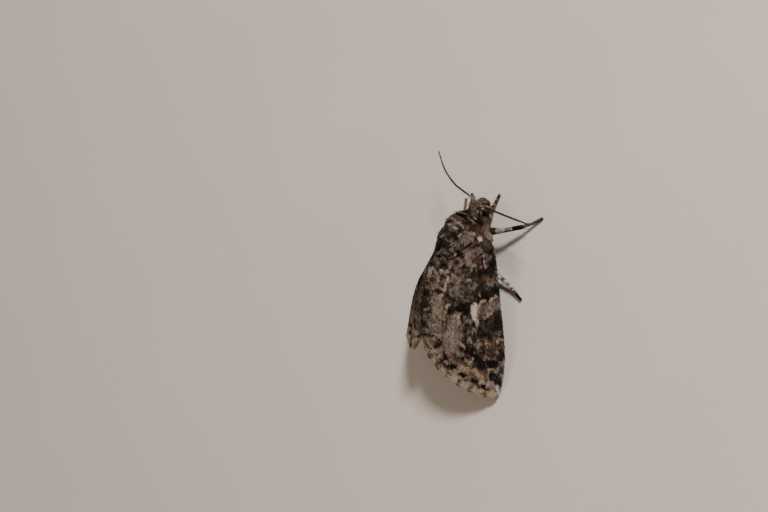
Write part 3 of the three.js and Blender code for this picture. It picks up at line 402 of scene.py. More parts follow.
# Marks of the body, laid one over another: kind, strength, and paths of places along Y and degrees from the
# top line with the half width in millimetres at each.  They stand on both sides.
BODY_MARKS = [
    # Head.
    ("rust", 0.42, [(-3.45, 0, 0.6), (-3.0, 20, 0.5), (-2.7, 10, 0.4)]),
    ("rust", 0.5, [(-3.5, 60, 0.4), (-3.55, 120, 0.5)]),
    ("pale", 0.55, [(-3.4, 10, 0.35), (-3.45, 50, 0.35)]),
    ("dark", 0.3, [(-3.1, 10, 0.2), (-2.7, 20, 0.3)]),
    ("rust", 0.5, [(-3.2, 5, 0.12), (-3.15, 20, 0.13), (-3.2, 32, 0.12)]),
    ("dark", 0.45, [(-2.75, 12, 0.12), (-2.8, 30, 0.12)]),
    ("pale", 0.7, [(-3.05, 18, 0.08), (-2.85, 10, 0.08)]),
    ("pale", 0.6, [(-2.9, 24, 0.07), (-2.6, 20, 0.08)], [(-2.5, 6, 0.12), (-2.45, 0, 0.12)]),
    ("dark", 1, [(-2.42, 50, 0.24), (-2.52, 40, 0.22), (-2.2, 60, 0.16)]),
    ("cream", 0.9, [(-3.28, 46, 0.13), (-3.1, 44, 0.15), (-2.95, 42, 0.1)]),
    ("pale", 0.6, [(-2.4, 118, 0.2), (-2.5, 100, 0.15)]),
    ("cream", 0.9, [(-2.5, 77, 0.12), (-2.42, 90, 0.15)]),
    ("cream", 0.75, [(-2.42, 90, 0.15), (-2.25, 102, 0.18), (-2.05, 112, 0.2)]),
    ("pale", 0.5, [(-2.5, 150, 0.5), (-3.1, 150, 0.4)]),
    # Collar.
    ("dark", 0.9, [(-1.92, 0, 0.12), (-1.92, 25, 0.13), (-1.8, 38, 0.15), (-1.65, 43, 0.16)]),
    ("dark", 0.55, [(-1.7, 60, 0.2), (-1.55, 80, 0.3)]),
    ("dark", 0.5, [(-1.65, 0, 0.1), (-1.6, 30, 0.1)]),
    ("cream", 1, [(-1.88, 43, 0.08), (-1.82, 50, 0.1), (-1.77, 58, 0.08)]),
    ("dark", 0.75, [(-1.72, -30, 0.16), (-1.7, 10, 0.17), (-1.66, 25, 0.17), (-1.56, 38, 0.16)]),
    ("rust", 0.4, [(-1.66, 12, 0.08), (-1.62, 28, 0.08)]),
    ("rust", 0.35, [(-1.6, 70, 0.2), (-1.35, 82, 0.2)]),
    ("pale", 0.5, [(-1.75, 95, 0.12), (-1.4, 92, 0.13)]),
    ("dark", 0.7, [(-1.55, 105, 0.14), (-1.5, 112, 0.16)]),
    # Thorax from front to back.
    ("pale", 0.45, [(-1.3, 47, 0.2), (-0.8, 46, 0.24), (-0.15, 44, 0.2)]),
    ("pale", 0.6, [(-0.95, 58, 0.28), (-0.5, 59, 0.3), (-0.1, 58, 0.25)]),
    ("pale", 0.4, [(-1.35, 3, 0.2), (-1.05, 0, 0.25)]),
    ("dark", 0.75, [(-1.25, 12, 0.14), (-1.15, 20, 0.22), (-1.05, 29, 0.2)]),
    ("pale", 0.9, [(-1.47, 3, 0.08), (-1.52, 10, 0.11), (-1.47, 18, 0.08), (-1.43, 26, 0.1),
        (-1.35, 33, 0.09)]),
    ("dark", 0.85, [(-1.3, 54, 0.15), (-1.18, 50, 0.17)]),
    ("pale", 0.8, [(-1.06, 62, 0.13), (-1.06, 69, 0.12)]),
    ("dark", 0.85, [(-0.62, 16, 0.17), (-0.35, 22, 0.2), (-0.1, 26, 0.2)]),
    ("dark", 0.7, [(-0.5, 8, 0.2), (-0.25, 4, 0.17)]),
    ("rust", 0.5, [(-0.25, 4, 0.12)]),
    ("white", 0.25, [(-0.92, 14, 0.12), (-0.88, 7, 0.1)]),
    ("pale", 0.65, [(-0.74, 3, 0.09), (-0.45, -6, 0.09), (-0.15, -14, 0.1)]),
    ("white", 0.4, [(-0.78, 33, 0.1), (-0.62, 32, 0.09)]),
    ("pale", 0.8, [(-0.5, 33, 0.1), (-0.2, 36, 0.11)]),
    ("pale", 0.7, [(-0.55, 66, 0.13)]),
    ("dark", 0.6, [(-0.7, 73, 0.09), (-0.35, 74, 0.1)]),
    ("rust", 0.6, [(-1.25, 88, 0.16), (-0.85, 94, 0.18), (-0.5, 93, 0.15)]),
    ("white", 1, [(-0.74, 83, 0.22), (-0.58, 86, 0.26)]),
    ("pale", 0.65, [(-0.25, 74, 0.13)]),
    ("dark", 0.5, [(-0.2, 84, 0.15), (-0.05, 90, 0.15)]),
    ("pale", 0.5, [(-0.2, 94, 0.13), (0, 96, 0.13)]),
    ("dark", 0.95, [(-0.25, 33, 0.17), (-0.05, 29, 0.22), (0.17, 28, 0.2), (0.38, 33, 0.16)]),
    ("rust", 0.6, [(0, 27, 0.12)]),
    ("pale", 0.8, [(0.03, 18, 0.1), (0.2, 15, 0.14), (0.4, 14, 0.2)]),
    ("cream", 0.3, [(0.62, 22, 0.1), (0.7, 30, 0.11), (0.74, 35, 0.09)]),
    ("cream", 0.4, [(0.33, -8, 0.1), (0.36, 6, 0.1)]),
    ("dark", 0.6, [(0.35, 72, 0.2), (0.1, 74, 0.15)]),
    ("dark", 0.85, [(1, 0, 0.09), (1.03, 14, 0.09), (1, 26, 0.08)]),
    ("dark", 0.6, [(0.82, 12, 0.13)]),
    ("pale", 0.8, [(0.9, 61, 0.14), (0.85, 56, 0.13), (0.97, 52, 0.1)]),
    ("dark", 0.7, [(1.12, 52, 0.1), (1.3, 57, 0.15), (1.5, 52, 0.12)]),
    ("pale", 0.9, [(1.2, 37, 0.1), (1.32, 42, 0.12), (1.47, 48, 0.11)]),
    ("dark", 0.65, [(1.55, 44, 0.1), (1.62, 30, 0.12), (1.6, 14, 0.12)]),
    ("pale", 0.5, [(1.35, 5, 0.2), (1.9, 10, 0.2)]),
    ("dark", 0.5, [(2.0, 25, 0.15), (2.3, 8, 0.2)]),
    ("pale", 0.75, [(-1.2, 125, 0.9), (0.5, 140, 1.4)]),
    ("pale", 0.6, [(-1.2, 108, 0.25), (-0.7, 108, 0.3)]),
]
EYE_RING = {"from": 1.16, "to": 1.28, "strength": 0.9}  # pale skin, in eye radii from the eye's middle
# Pale edge of the collar: places in space on the moth's left, and its half width.
COLLAR_EDGE = [(0.0, -2.31, 4.36), (0.17, -2.29, 4.47), (0.44, -2.23, 4.64), (0.93, -2.12, 4.65),
               (1.29, -2.0, 4.55), (1.48, -1.93, 4.39)]
COLLAR_EDGE_HALF = 0.12
WING_SEED, BODY_SEED = 11, 31
BLOTCHES = ((1.6, 2.4, 0.45), (4, 6, 0.33), (9, 13, 0.22))  # cells along and across, and their weight
WANDER_CELLS = (2.2, 6)  # cells to a millimetre of the two noises that make marks ragged
WANDER_ALONG = (0.008, 0.007)  # how far each moves a mark, as a share of the wing's length
WANDER_ACROSS = (0.016, 0.013)  # the same across the wing
STREAK_TURN = 3.5  # how far streaks of the outer corner turn towards the margin
COVER = 0.85  # how much of the colours under it one colour hides
SCALE_SPECULAR = 0.05
FAR = 99.0  # farther off than any place of the moth

# ---------- coats, in millimetres
# Scales of the body: from and to along Y, how many rows, and the space and width of each scale.
COATS = {
    "thorax": dict(span=(-2.25, 2.5), rows=110, spacing=0.065, width=0.085),
    "head": dict(span=(-3.47, -2.2), rows=48, spacing=0.045, width=0.06),
    "abdomen": dict(span=(2.0, 11.2), rows=90, spacing=0.1, width=0.12),
}
# Long tufts: from and to along Y, from and to in degrees off the top line, and how many stand on each side.
TUFTS = {
    "neck": dict(place=(-2.8, -2.4), degrees=(0, 105), count=760, length=0.68, width=0.065, lift=0.37),
    "collar": dict(place=(-2.2, -1.8), degrees=(0, 100), count=460, length=0.5, width=0.075, lift=0.5),
    "wing_root": dict(place=(-0.1, 1.7), degrees=(24, 72), count=1500, length=0.95, width=0.07, lift=0.42),
    "crest": dict(place=(1.3, 2.5), degrees=(0, 34), count=420, length=1.0, width=0.09, lift=0.5),
}
COAT_CLEAR, TUFT_CLEAR = 1.1, 1.04  # how near scales come to an eye, in eye radii from its middle
ORBIT_SCALES = 240
WING_ROW_SPACING = 0.085
WING_SCALE_SPACING = 0.054
# Layers of the fringe: how far inside the margin they are rooted, and the share of the full length.
FRINGE_LAYERS = ((0.02, 0.8), (0.01, 1.0), (0.004, 0.9))
FRINGE_SCALES = 460
# Hairs of the trailing and the leading edge: place across, turn outward, and from and to along the wing.
EDGE_HAIRS = ((0.996, 0.6, (0.35, 0.96)), (0.004, -0.35, (0.08, 0.95)))
EDGE_SCALES = 330
COMB_SCALES = 900  # hair-like scales on the trailing edge, which close the ridge of the roof
HINDWING_ROWS = 70
HINDWING_FRINGE_SCALES = 300
LEG_ROW_SPACING = 0.075

# Bands of thigh, shin and foot: kind, strength, and from and to along each.
LEG_BANDS = {
    "fore": (
        [("pale", 0.45, 0.0, 1.0)],
        [("pale", 0.35, 0.0, 1.0), ("dark", 0.6, 0.25, 0.65)],
        [("pale", 0.9, 0, 1), ("dark", 1, 0, 0.2), ("dark", 1, 0.34, 0.6), ("dark", 1, 0.72, 1)],
    ),
    "mid": (
        [("pale", 0.4, 0, 0.3), ("rust", 0.4, 0.3, 0.56), ("pale", 0.8, 0.58, 1), ("white", 0.85, 0.6, 1)],
        [("white", 0.85, 0, 0.07), ("pale", 0.8, 0.1, 0.36), ("white", 0.8, 0.38, 0.43),
         ("dark", 0.75, 0.46, 0.9)],
        [("rust", 0.5, 0.0, 0.4), ("pale", 0.6, 0.0, 1.0), ("dark", 0.2, 0.3, 1.0)],
    ),
    "hind": (
        [("pale", 0.6, 0.0, 1.0)],
        [("white", 0.8, 0.1, 1.0), ("dark", 0.9, 0.4, 0.5), ("dark", 1.0, 0.92, 1.0)],
        [("white", 0.85, 0, 0.6), ("pale", 0.6, 0.6, 0.72), ("dark", 1, 0, 0.07), ("dark", 0.95, 0.23, 0.33),
         ("dark", 0.95, 0.46, 0.53), ("dark", 0.95, 0.59, 0.66), ("dark", 0.95, 0.73, 1)],
    ),
}

# ---------- camera and light
# Where the camera stands, in millimetres, and the degrees by which its right side turns about Z and dips.
CAMERA_PLACE = (-139.699, -61.462, 142.045)
CAMERA_TURN, CAMERA_DIP = 204.5, 50.0
LENS = 100.0
SENSOR = 36.0
CLIP = (0.01, 10.0)
# Lights: direction, distance and size in metres, watts and colour.
LIGHTS = {
    "key": ((-0.72, -1.6, 1.0), 0.5, 0.08, 4.3, (0.92, 0.96, 1.0)),
    "top": ((0.15, 0.0, 1.0), 0.5, 0.3, 0.35, (1.0, 0.93, 0.85)),
}
LIT_PLACE = (0.0, 4.0, 2.5)  # the middle of the moth, where the lights point, in millimetres
SKY_COLOUR = (1.0, 0.92, 0.83, 1.0)
SKY_STRENGTH = 0.25
FLOOR_HALF = 0.6  # in metres
FLOOR_STEPS = 24
FLOOR_GAP = 0.002  # how far off the floor the lowest corner of a leg lies, in millimetres


def linear(red, green, blue):
    """A colour given in display values from 0 to 255, in the linear values that shaders use."""
    shares = [value / 255 for value in (red, green, blue)]
    return tuple(s / 12.92 if s < 0.04045 else ((s + 0.055) / 1.055) ** 2.4 for s in shares)


# ---------- settings in the sidebar
def size_setting(name, description, default):
    """A length in the sidebar.  The default is in millimetres."""
    return FloatProperty(name=name, description=description, default=default * MM, min=0.0, precision=6,
                         subtype="DISTANCE", unit="LENGTH")


def colour_setting(name, description, *display):
    return FloatVectorProperty(name=name, description=description, default=linear(*display), size=3,
                               min=0.0, max=1.0, subtype="COLOR")


class MothSizes(bpy.types.PropertyGroup):
    """Sizes that shape the coat and the fine parts."""
    wing_scale: size_setting("Wing scale", "Length of one scale on the wings", 0.17)
    fringe: size_setting("Fringe", "Length of the scales that stand out past the wing's margin", 0.66)
    thorax_scale: size_setting("Thorax scale", "Length of the scales on the thorax", 0.5)
    head_scale: size_setting("Head scale", "Length of the scales on the head", 0.26)
    abdomen_scale: size_setting("Abdomen scale", "Length of the scales on the abdomen", 0.42)
    membrane: size_setting("Membrane", "Thickness of a wing's membrane", 0.07)
    vein: size_setting("Vein", "Height of the veins over the membrane", 0.07)
    antenna: size_setting("Antenna", "Thickness of the antennae near their roots", 0.21)
    seed: IntProperty(name="Seed", description="Picks another arrangement of the scales", default=7, min=0)


class MothColours(bpy.types.PropertyGroup):
    """Colours of the scales, the bare parts and the floor."""
    ground: colour_setting("Ground", "Brown that lies between the marks", 50, 38, 29)
    dark: colour_setting("Dark marks", "Blackish brown of bands and wedges", 9, 6, 4)
    pale: colour_setting("Pale marks", "Pinkish grey of the inner half of the wing", 126, 107, 95)
    rust: colour_setting("Rust marks", "Warm brown of the outer field and the crown", 92, 62, 39)
    cream: colour_setting("Cream marks", "Buff of the patch, the collar and the fringe", 155, 134, 109)
    white: colour_setting("White marks", "Whitish kidney mark and flecks", 176, 158, 148)
    under: colour_setting("Underside", "Greyish brown of the undersides and hindwings", 100, 84, 70)
    cuticle: colour_setting("Cuticle", "Brown of antennae, claws and tongue", 48, 30, 23)
    eye: colour_setting("Eye", "Blackish brown of the eyes", 26, 11, 3)
    floor: colour_setting("Floor", "Pale floor that the moth stands on", 212, 195, 182)


# ---------- numbers and noise
def unit(vectors):
    return vectors / np.maximum(np.linalg.norm(vectors, axis=-1, keepdims=True), 1e-9)


def smooth(low, high, x):
    share = np.clip((x - low) / (high - low), 0, 1)
    return share * share * (3 - 2 * share)


def lattice(column, row, seed):
    """A repeatable random number from 0 to 1 for each cell of a lattice."""
    mixed = (column * 374761393 + row * 668265263 + seed * 1442695041) & 0xFFFFFFFF
    mixed = ((mixed ^ (mixed >> 13)) * 1274126177) & 0xFFFFFFFF
    return ((mixed ^ (mixed >> 16)) & 0xFFFF) / 65535


def noise(x, y, seed):
    """Smooth value noise from 0 to 1, one cell to a unit."""
    column = np.floor(x).astype(np.int64)
    row = np.floor(y).astype(np.int64)
    across = smooth(0, 1, x - column)
    up = smooth(0, 1, y - row)
    low = lattice(column, row, seed) * (1 - across) + lattice(column + 1, row, seed) * across
    high = lattice(column, row + 1, seed) * (1 - across) + lattice(column + 1, row + 1, seed) * across
    return low * (1 - up) + high * up


class Path:
    """A smooth curve through points, by its share of the length."""
    STEPS = 400

    def __init__(self, points):
        points = np.array(points, float)
        p = np.vstack([2 * points[0] - points[1], points, 2 * points[-1] - points[-2]])
        place = np.linspace(0, len(points) - 1, self.STEPS + 1)
        i = np.minimum(place.astype(int), len(points) - 2)
        w = (place - i)[:, None]
        chords = np.sqrt(np.linalg.norm(np.diff(p, axis=0), axis=1))[:, None]
        d0, d1, d2 = chords[i], chords[i + 1], chords[i + 2]
        x0, x1, x2, x3 = p[i], p[i + 1], p[i + 2], p[i + 3]
        t1 = ((x1 - x0) / d0 - (x2 - x0) / (d0 + d1) + (x2 - x1) / d1) * d1
        t2 = ((x2 - x1) / d1 - (x3 - x1) / (d1 + d2) + (x3 - x2) / d2) * d1
        self.points = x1 + t1 * w + (3 * (x2 - x1) - 2 * t1 - t2) * w**2 + (2 * (x1 - x2) + t1 + t2) * w**3
        lengths = np.concatenate([[0], np.cumsum(np.linalg.norm(np.diff(self.points, axis=0), axis=1))])
        self.length = lengths[-1]
        self.shares = lengths / self.length

    def at(self, share):
        return np.stack([np.interp(share, self.shares, self.points[:, k]) for k in range(3)], -1)


# ---------- surfaces
class Surface:
    """A stretch of skin as a function of the shares along (u) and across or around (v) it."""
    STEP = 1e-3

    def __init__(self, point, outward=1):
        self.point = point
        self.outward = outward

    def frame(self, u, v):
        """Outward and lengthwise directions."""
        along = self.point(u + self.STEP, v) - self.point(u - self.STEP, v)
        across = self.point(u, v + self.STEP) - self.point(u, v - self.STEP)
        return unit(np.cross(along, across)) * self.outward, unit(along)


TUBE_SAMPLES = 240
TUBE_START = (0.13, 0.21, 0.97)  # a direction that no tube starts in, from which its sides are turned


def tube_surface(path, radius):
    """The skin of a tube along a path.  `radius` is a function of the share of the length."""
    shares = np.linspace(0, 1, TUBE_SAMPLES)
    centres = path.at(shares)
    tangents = unit(np.gradient(centres, axis=0))
    side = unit(np.cross(tangents[0], TUBE_START))
    sides = np.zeros_like(centres)
    for i, tangent in enumerate(tangents):
        side = unit(side - tangent * (side @ tangent))
        sides[i] = side
    tops = np.cross(sides, tangents)

    def pick(table, share):
        return np.stack([np.interp(share, shares, table[:, k]) for k in range(3)], -1)

    def point(u, v):
        u, v = np.broadcast_arrays(u, v)
        turn = 2 * math.pi * v
        size = radius(u)
        round_part = pick(sides, u) * (np.cos(turn) * size)[..., None]
        return pick(centres, u) + round_part + pick(tops, u) * (np.sin(turn) * size)[..., None]

    return Surface(point)


def stations(pairs):
    """A function that runs straight between (share, value) pairs."""
    shares, values = zip(*pairs)
    return lambda share: np.interp(share, shares, values)


# ---------- meshes
def to_frame(points):
    """Points of the moth, in millimetres, as points of the frame, in metres."""
    low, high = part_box("thorax")
    shift = np.array([(low.x + high.x) / 2, low.y - NECK["front"] * MM, 0.0])
    return np.asarray(points, float) * MM + shift


class Pile:
    """Collects corners, faces and values, and writes them as one mesh."""

    def __init__(self):
        self.points, self.faces, self.values, self.patches = [], [], [], []
        self.count = 0

    def add(self, points, faces, values=None, patches=None):
        """Faces are arrays of corner numbers, one array for each number of sides."""
        points = np.asarray(points, float).reshape(-1, 3)
        self.points.append(points)
        self.faces += [np.asarray(f, np.int64) + self.count for f in faces if len(f)]
        full = {name: np.zeros(len(points)) for name in (*KINDS, "tone")}
        full["tone"] += 1
        for name, value in (values or {}).items():
            full[name] = np.broadcast_to(value, len(points)) if np.ndim(value) == 0 else np.ravel(value)
        self.values.append(full)
        self.patches.append(np.zeros((len(points), 2)) if patches is None else patches.reshape(-1, 2))
        self.count += len(points)

    def write(self, name, material, smooth_faces=False, patched=False):
        points = to_frame(np.vstack(self.points))
        corners = np.concatenate([f.ravel() for f in self.faces])
        sides = np.concatenate([np.full(len(f), f.shape[1]) for f in self.faces])
        mesh = bpy.data.meshes.new(name)
        mesh.vertices.add(len(points))
        mesh.vertices.foreach_set("co", points.astype(np.float32).ravel())
        mesh.loops.add(len(corners))
        mesh.loops.foreach_set("vertex_index", corners.astype(np.int32))
        mesh.polygons.add(len(sides))
        starts = np.concatenate([[0], np.cumsum(sides)[:-1]])
        mesh.polygons.foreach_set("loop_start", starts.astype(np.int32))
        mesh.polygons.foreach_set("use_smooth", np.full(len(sides), smooth_faces))
        mesh.update(calc_edges=True)
        for kind in (*KINDS, "tone"):
            layer = mesh.attributes.new(kind, "FLOAT", "POINT")
            value = np.concatenate([v[kind] for v in self.values])
            layer.data.foreach_set("value", value.astype(np.float32))
        if patched:
            layer = mesh.uv_layers.new(name="OFBake")
            layer.data.foreach_set("uv", np.vstack(self.patches)[corners].astype(np.float32).ravel())
        if mesh.validate():
            raise RuntimeError(f"the mesh of {name} had faults")
        piece = bpy.data.objects.new(name, mesh)
        bpy.context.scene.collection.objects.link(piece)
        mesh.materials.append(material)
        return piece


def place(piece, slot, *nodes):
    """Rides the piece on the body and hides the solids it stands for; `slot` is not used."""
    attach(piece, BODY)
    if nodes:
        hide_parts(*nodes)
    return piece


def add_skin(pile, surface, us, vs, values=None):
    """A closed skin round a tube-like surface, with v running once round it."""
    u, v = np.meshgrid(us, vs, indexing="ij")
    rows, columns = u.shape
    points = surface.point(u, v).reshape(-1, 3)
    i, j = np.meshgrid(np.arange(rows - 1), np.arange(columns), indexing="ij")
    k = (j + 1) % columns
    quads = np.stack([i * columns + j, (i + 1) * columns + j, (i + 1) * columns + k, i * columns + k], -1)
    ring = np.arange(columns)
    turned = (ring + 1) % columns
    start, end = rows * columns, (rows - 1) * columns
    faces = [
        quads.reshape(-1, 4),
        np.stack([np.full(columns, start), ring, turned], -1),
        np.stack([np.full(columns, start + 1), end + turned, end + ring], -1),
    ]
    extra = {}
    for name, value in (values or {}).items():
        value = np.ravel(value)
        extra[name] = np.concatenate([value, value[:1], value[-1:]])
    pile.add(np.vstack([points, points[:columns].mean(0), points[-columns:].mean(0)]), faces, extra)


# ---------- scales
# One scale as rows of a blade: share of its length, share of its half width, and share of its lift.
BLADE = ((0.0, 0.3, 0.0), (0.45, 0.95, 0.35), (0.82, 0.85, 0.8), (1.0, 0.0, 1.0))
CHIP = ((0.0, 0.0, 0.0), (0.5, 1.0, 0.5), (1.0, 0.62, 1.0))
PATCH = 0.0015  # half size of a scale's patch on the map for baking
SPECKLE = 1.5  # how far single scales stray from the blend of colours around them
TONES = (0.7, 1.3)  # darkest and lightest scale, as shares of its colour
TWIST = 0.25  # how far scales roll about their own length, in radians
# Least and greatest share of its given size that a scale has.
LENGTHS = (0.8, 1.15)
WIDTHS = (0.8, 1.2)
LIFTS = (0.6, 1.3)
JITTER = 0.4  # how far scales stray from their rows, in spacings


def add_scales(pile, surface, u, v, length, width, lift, rng, values, shape=CHIP, aim=0.0, spread=0.12):
    """Scales rooted in a surface, which lie along it and rise by `lift` of their length at the tip.

    `aim` turns them off the lengthwise direction, in radians, towards growing v.
    """
    u, v = np.ravel(u), np.ravel(v)
    count = len(u)
    roots = surface.point(u, v)
    normal, along = surface.frame(u, v)
    across = np.cross(normal, along) * surface.outward
    turn = rng.normal(0, spread, count) + aim
    along, across = (
        along * np.cos(turn)[:, None] + across * np.sin(turn)[:, None],
        across * np.cos(turn)[:, None] - along * np.sin(turn)[:, None],
    )
    roll = rng.normal(0, TWIST, count)[:, None]
    side = across * np.cos(roll) + normal * np.sin(roll)
    length = np.broadcast_to(length, count) * rng.uniform(*LENGTHS, count)
    width = np.broadcast_to(width, count) * rng.uniform(*WIDTHS, count)
    rise = np.broadcast_to(lift, count) * rng.uniform(*LIFTS, count)
    rows, corners = [], []
    for share, half, up in shape:
        centre = roots + along * (length * share)[:, None] + normal * (length * rise * up)[:, None]
        if half == 0:
            rows.append(1)
            corners.append(centre)
        else:
            rows.append(2)
            corners.append(centre - side * (width * half / 2)[:, None])
            corners.append(centre + side * (width * half / 2)[:, None])
    points = np.stack(corners, 1)
    each = points.shape[1]
    base = (np.arange(count) * each)[:, None]
    faces, first = [], 0
    for here, following in zip(rows, rows[1:]):
        if here == 2 and following == 2:
            face = (first, first + 1, first + 3, first + 2)
        elif here == 1:
            face = (first, first + 2, first + 1)
        else:
            face = (first, first + 1, first + 2)
        faces.append(base + np.array(face[::-1] if surface.outward < 0 else face))
        first += here
    shares = np.linspace(-1, 1, each)
    patches = np.stack([u[:, None] + PATCH * shares, v[:, None] + PATCH * shares[::-1]], -1)
    stray = rng.uniform(-SPECKLE, SPECKLE, count)
    repeated = {}
    for name, value in values.items():
        repeated[name] = np.repeat(np.clip(value + stray * value * (1 - value), 0, 1), each)
    repeated["tone"] = np.repeat(rng.uniform(*TONES, count), each)
    pile.add(points, faces, repeated, np.clip(patches, 0, 1))


def scatter(rows, counts, rng):
    """Places in staggered rows: the row's share, and a share across or around it."""
    u, v = [], []
    step = rows[1] - rows[0]
    for i, (row, count) in enumerate(zip(rows, counts)):
        count = max(int(count), 1)
        offsets = rng.uniform(-JITTER, JITTER, (2, count))
        u.append(row + offsets[0] * step)
        v.append((np.arange(count) + 0.5 * (i % 2) + 0.25 + offsets[1]) / count)
    return np.concatenate(u), np.concatenate(v)


# ---------- markings as functions
class Marks:
    """How much of each kind of colour shows at each place."""

    def __init__(self, like):
        self.shares = {kind: np.zeros(np.shape(like)) for kind in KINDS}

    def put(self, kind, amount):
        """Lays one colour over what is there."""
        for other, share in self.shares.items():
            if other != kind:
                share *= 1 - amount * COVER
        self.shares[kind] = np.maximum(self.shares[kind], amount)


def chain_distance(x, y, stops, width=1.0):
    """Distance to a path of straight stretches, in units of its half width.  `width` scales y."""
    nearest = np.full(np.shape(x), FAR)
    for (ax, ay, a_half), (bx, by, b_half) in zip(stops, stops[1:] or stops):
        dx, dy = bx - ax, (by - ay) * width
        px, py = x - ax, (y - ay) * width
        share = np.clip((px * dx + py * dy) / (dx * dx + dy * dy + 1e-9), 0, 1)
        gap = np.hypot(px - share * dx, py - share * dy)
        nearest = np.minimum(nearest, gap / (a_half + (b_half - a_half) * share))
    return nearest


def mottle(marks, x, y, seed, strength=1.0):
    """Blotches and streaks of dark and pale between the marks."""
    blotch = sum(noise(x * along, y * across, seed + layer) * weight
                 for layer, (along, across, weight) in enumerate(BLOTCHES))
    marks.put("dark", np.clip((0.45 - blotch) * 4 * strength, 0, 0.85))
    marks.put("pale", np.clip((blotch - 0.55) * 3.6 * strength, 0, 0.75) * (1 - marks.shares["dark"]))


def wing_marks(along, across, shade=0.0):
    """The forewing's markings.  `shade` is painted shade laid over the trailing half, before the margin."""
    x, y = along * WING_LENGTH, across * MEAN_WIDTH
    t, w = along, across
    for layer, cells in enumerate(WANDER_CELLS):
        t = t + (noise(x * cells, y * cells, WING_SEED + layer) - 0.5) * WANDER_ALONG[layer]
        w = w + (noise(x * cells, y * cells, WING_SEED + 2 + layer) - 0.5) * WANDER_ACROSS[layer]
    width = np.interp(t, *WING_WIDTHS)
    marks = Marks(along)

    def lay(group, inner, outer):
        for kind, strength, *paths in group:
            for stops in paths:
                places = [(a * WING_LENGTH, b, half) for a, b, half in stops]
                away = chain_distance(t * WING_LENGTH, w, places, width)
                marks.put(kind, strength * (1 - smooth(inner, outer, away)))

    # Ground, with streaks that turn towards the margin in the outer corner.
    turned = y - smooth(0.72, 1.0, along) * smooth(0.55, 0.9, across) * STREAK_TURN
    mottle(marks, x, turned, WING_SEED + 5)
    lay(BROAD_MARKS, 0.6, 1.25)
    # Speckles all over.
    speckles = noise(x * 4, turned * 5, WING_SEED + 8) * 0.55 + noise(x * 8, y * 10, WING_SEED + 9) * 0.45
    marks.put("pale", np.clip((speckles - 0.6) * 4, 0, 0.6) * (1 - marks.shares["dark"]))
    marks.put("dark", np.clip((0.4 - speckles) * 5, 0, 0.7))
    # Flecks of the outer half.
    flecks = noise(x * 5, turned * 5, WING_SEED + 12)
    outer = smooth(0.56, 0.64, along)
    marks.put("cream", np.clip((flecks - 0.56) * 6, 0, 1.0) * outer * marks.shares["pale"])
    marks.put("white", np.clip((flecks - 0.64) * 6, 0, 0.6) * outer * marks.shares["pale"])
    marks.put("dark", np.clip((0.36 - flecks) * 6, 0, 0.6) * smooth(0.58, 0.66, along))
    lay(WING_MARKS, 0.6, 1.15)
    # Painted shade over the trailing half, and a faint darkening over the leading half.
    marks.put("dark", shade * smooth(0.3, 0.45, across) * smooth(0.84, 0.76, along))
    marks.put("dark", 0.13 * smooth(0.52, 0.34, across) * smooth(0.88, 0.8, along))
    marks.put("cream", 0.85 * smooth(FRINGE_START - 0.008, FRINGE_START + 0.008, along))
    lay(MARGIN_MARKS, 0.7, 1.15)
    return marks.shares


def eye_distance(spots, side):
    """Distance from the middle of an eye in eye radii."""
    return np.linalg.norm((spots - EYE_CENTRE * (side, 1, 1)) / EYE_RADII, axis=-1)


def collar_distance(spots):
    """Distance from the pale edge of the collar, on either side."""
    mirrored = np.abs(spots[..., 0])
    nearest = np.full(np.shape(mirrored), FAR)
    for start, end in zip(COLLAR_EDGE, COLLAR_EDGE[1:]):
        for share in np.linspace(0, 1, 5):
            x, y, z = (1 - share) * np.array(start) + share * np.array(end)
            gap = np.sqrt((mirrored - x) ** 2 + (spots[..., 1] - y) ** 2 + (spots[..., 2] - z) ** 2)
            nearest = np.minimum(nearest, gap)
    return nearest


def segment_share(y):
    """The share of its segment of the abdomen at which a place along Y lies."""
    step = (ABDOMEN["back"] - ABDOMEN["front"]) / ABDOMEN_SEGMENTS
    return ((y - ABDOMEN["front"]) / step) % 1


def body_marks(y, degrees, spots):
    """The body's markings by place along Y, degrees from the top line and spot in space."""
    reach = np.radians(np.abs(degrees)) * GIRTH_RADIUS
    wander = noise(y * 5, degrees * 0.08, BODY_SEED) - 0.5
    drift = noise(y * 5, degrees * 0.08, BODY_SEED + 1) - 0.5
    marks = Marks(y)
    mottle(marks, y * 1.3, degrees * 0.035 + 9, BODY_SEED + 4, 0.8)
    for kind, strength, *paths in BODY_MARKS:
        for stops in paths:
            arc = [(place, math.radians(turn) * GIRTH_RADIUS, half) for place, turn, half in stops]
            away = chain_distance(y + wander * 0.06, reach + drift * 0.08, arc)
            marks.put(kind, strength * (1 - smooth(0.6, 1.25, away)))
    # The abdomen, with a pale ring at the end of each segment.
    marks.put("pale", smooth(2.0, 2.6, y) * (0.35 + 0.5 * smooth(0.7, 0.95, segment_share(y))))
    marks.put("cream", smooth(COLLAR_EDGE_HALF * 1.6, COLLAR_EDGE_HALF, collar_distance(spots)))
    for side in SIDES.values():
        near = smooth(EYE_RING["to"], EYE_RING["from"], eye_distance(spots, side))
        marks.put("cream", EYE_RING["strength"] * near)
    return marks.shares


# ---------- finishes
class Value:
    """A number in a node tree, on which Python's operators make Math nodes."""

    def __init__(self, finish, socket):
        self.finish = finish
        self.socket = socket

    def math(self, operation, other):
        node = self.finish.node("ShaderNodeMath", {"operation": operation}, {0: self, 1: other})
        return Value(self.finish, node.outputs[0])

    def __add__(self, other):
        return self.math("ADD", other)

    def __mul__(self, other):
        return self.math("MULTIPLY", other)

    def __sub__(self, other):
        return self.math("SUBTRACT", other)

    def __rsub__(self, other):
        return (self * -1) + other


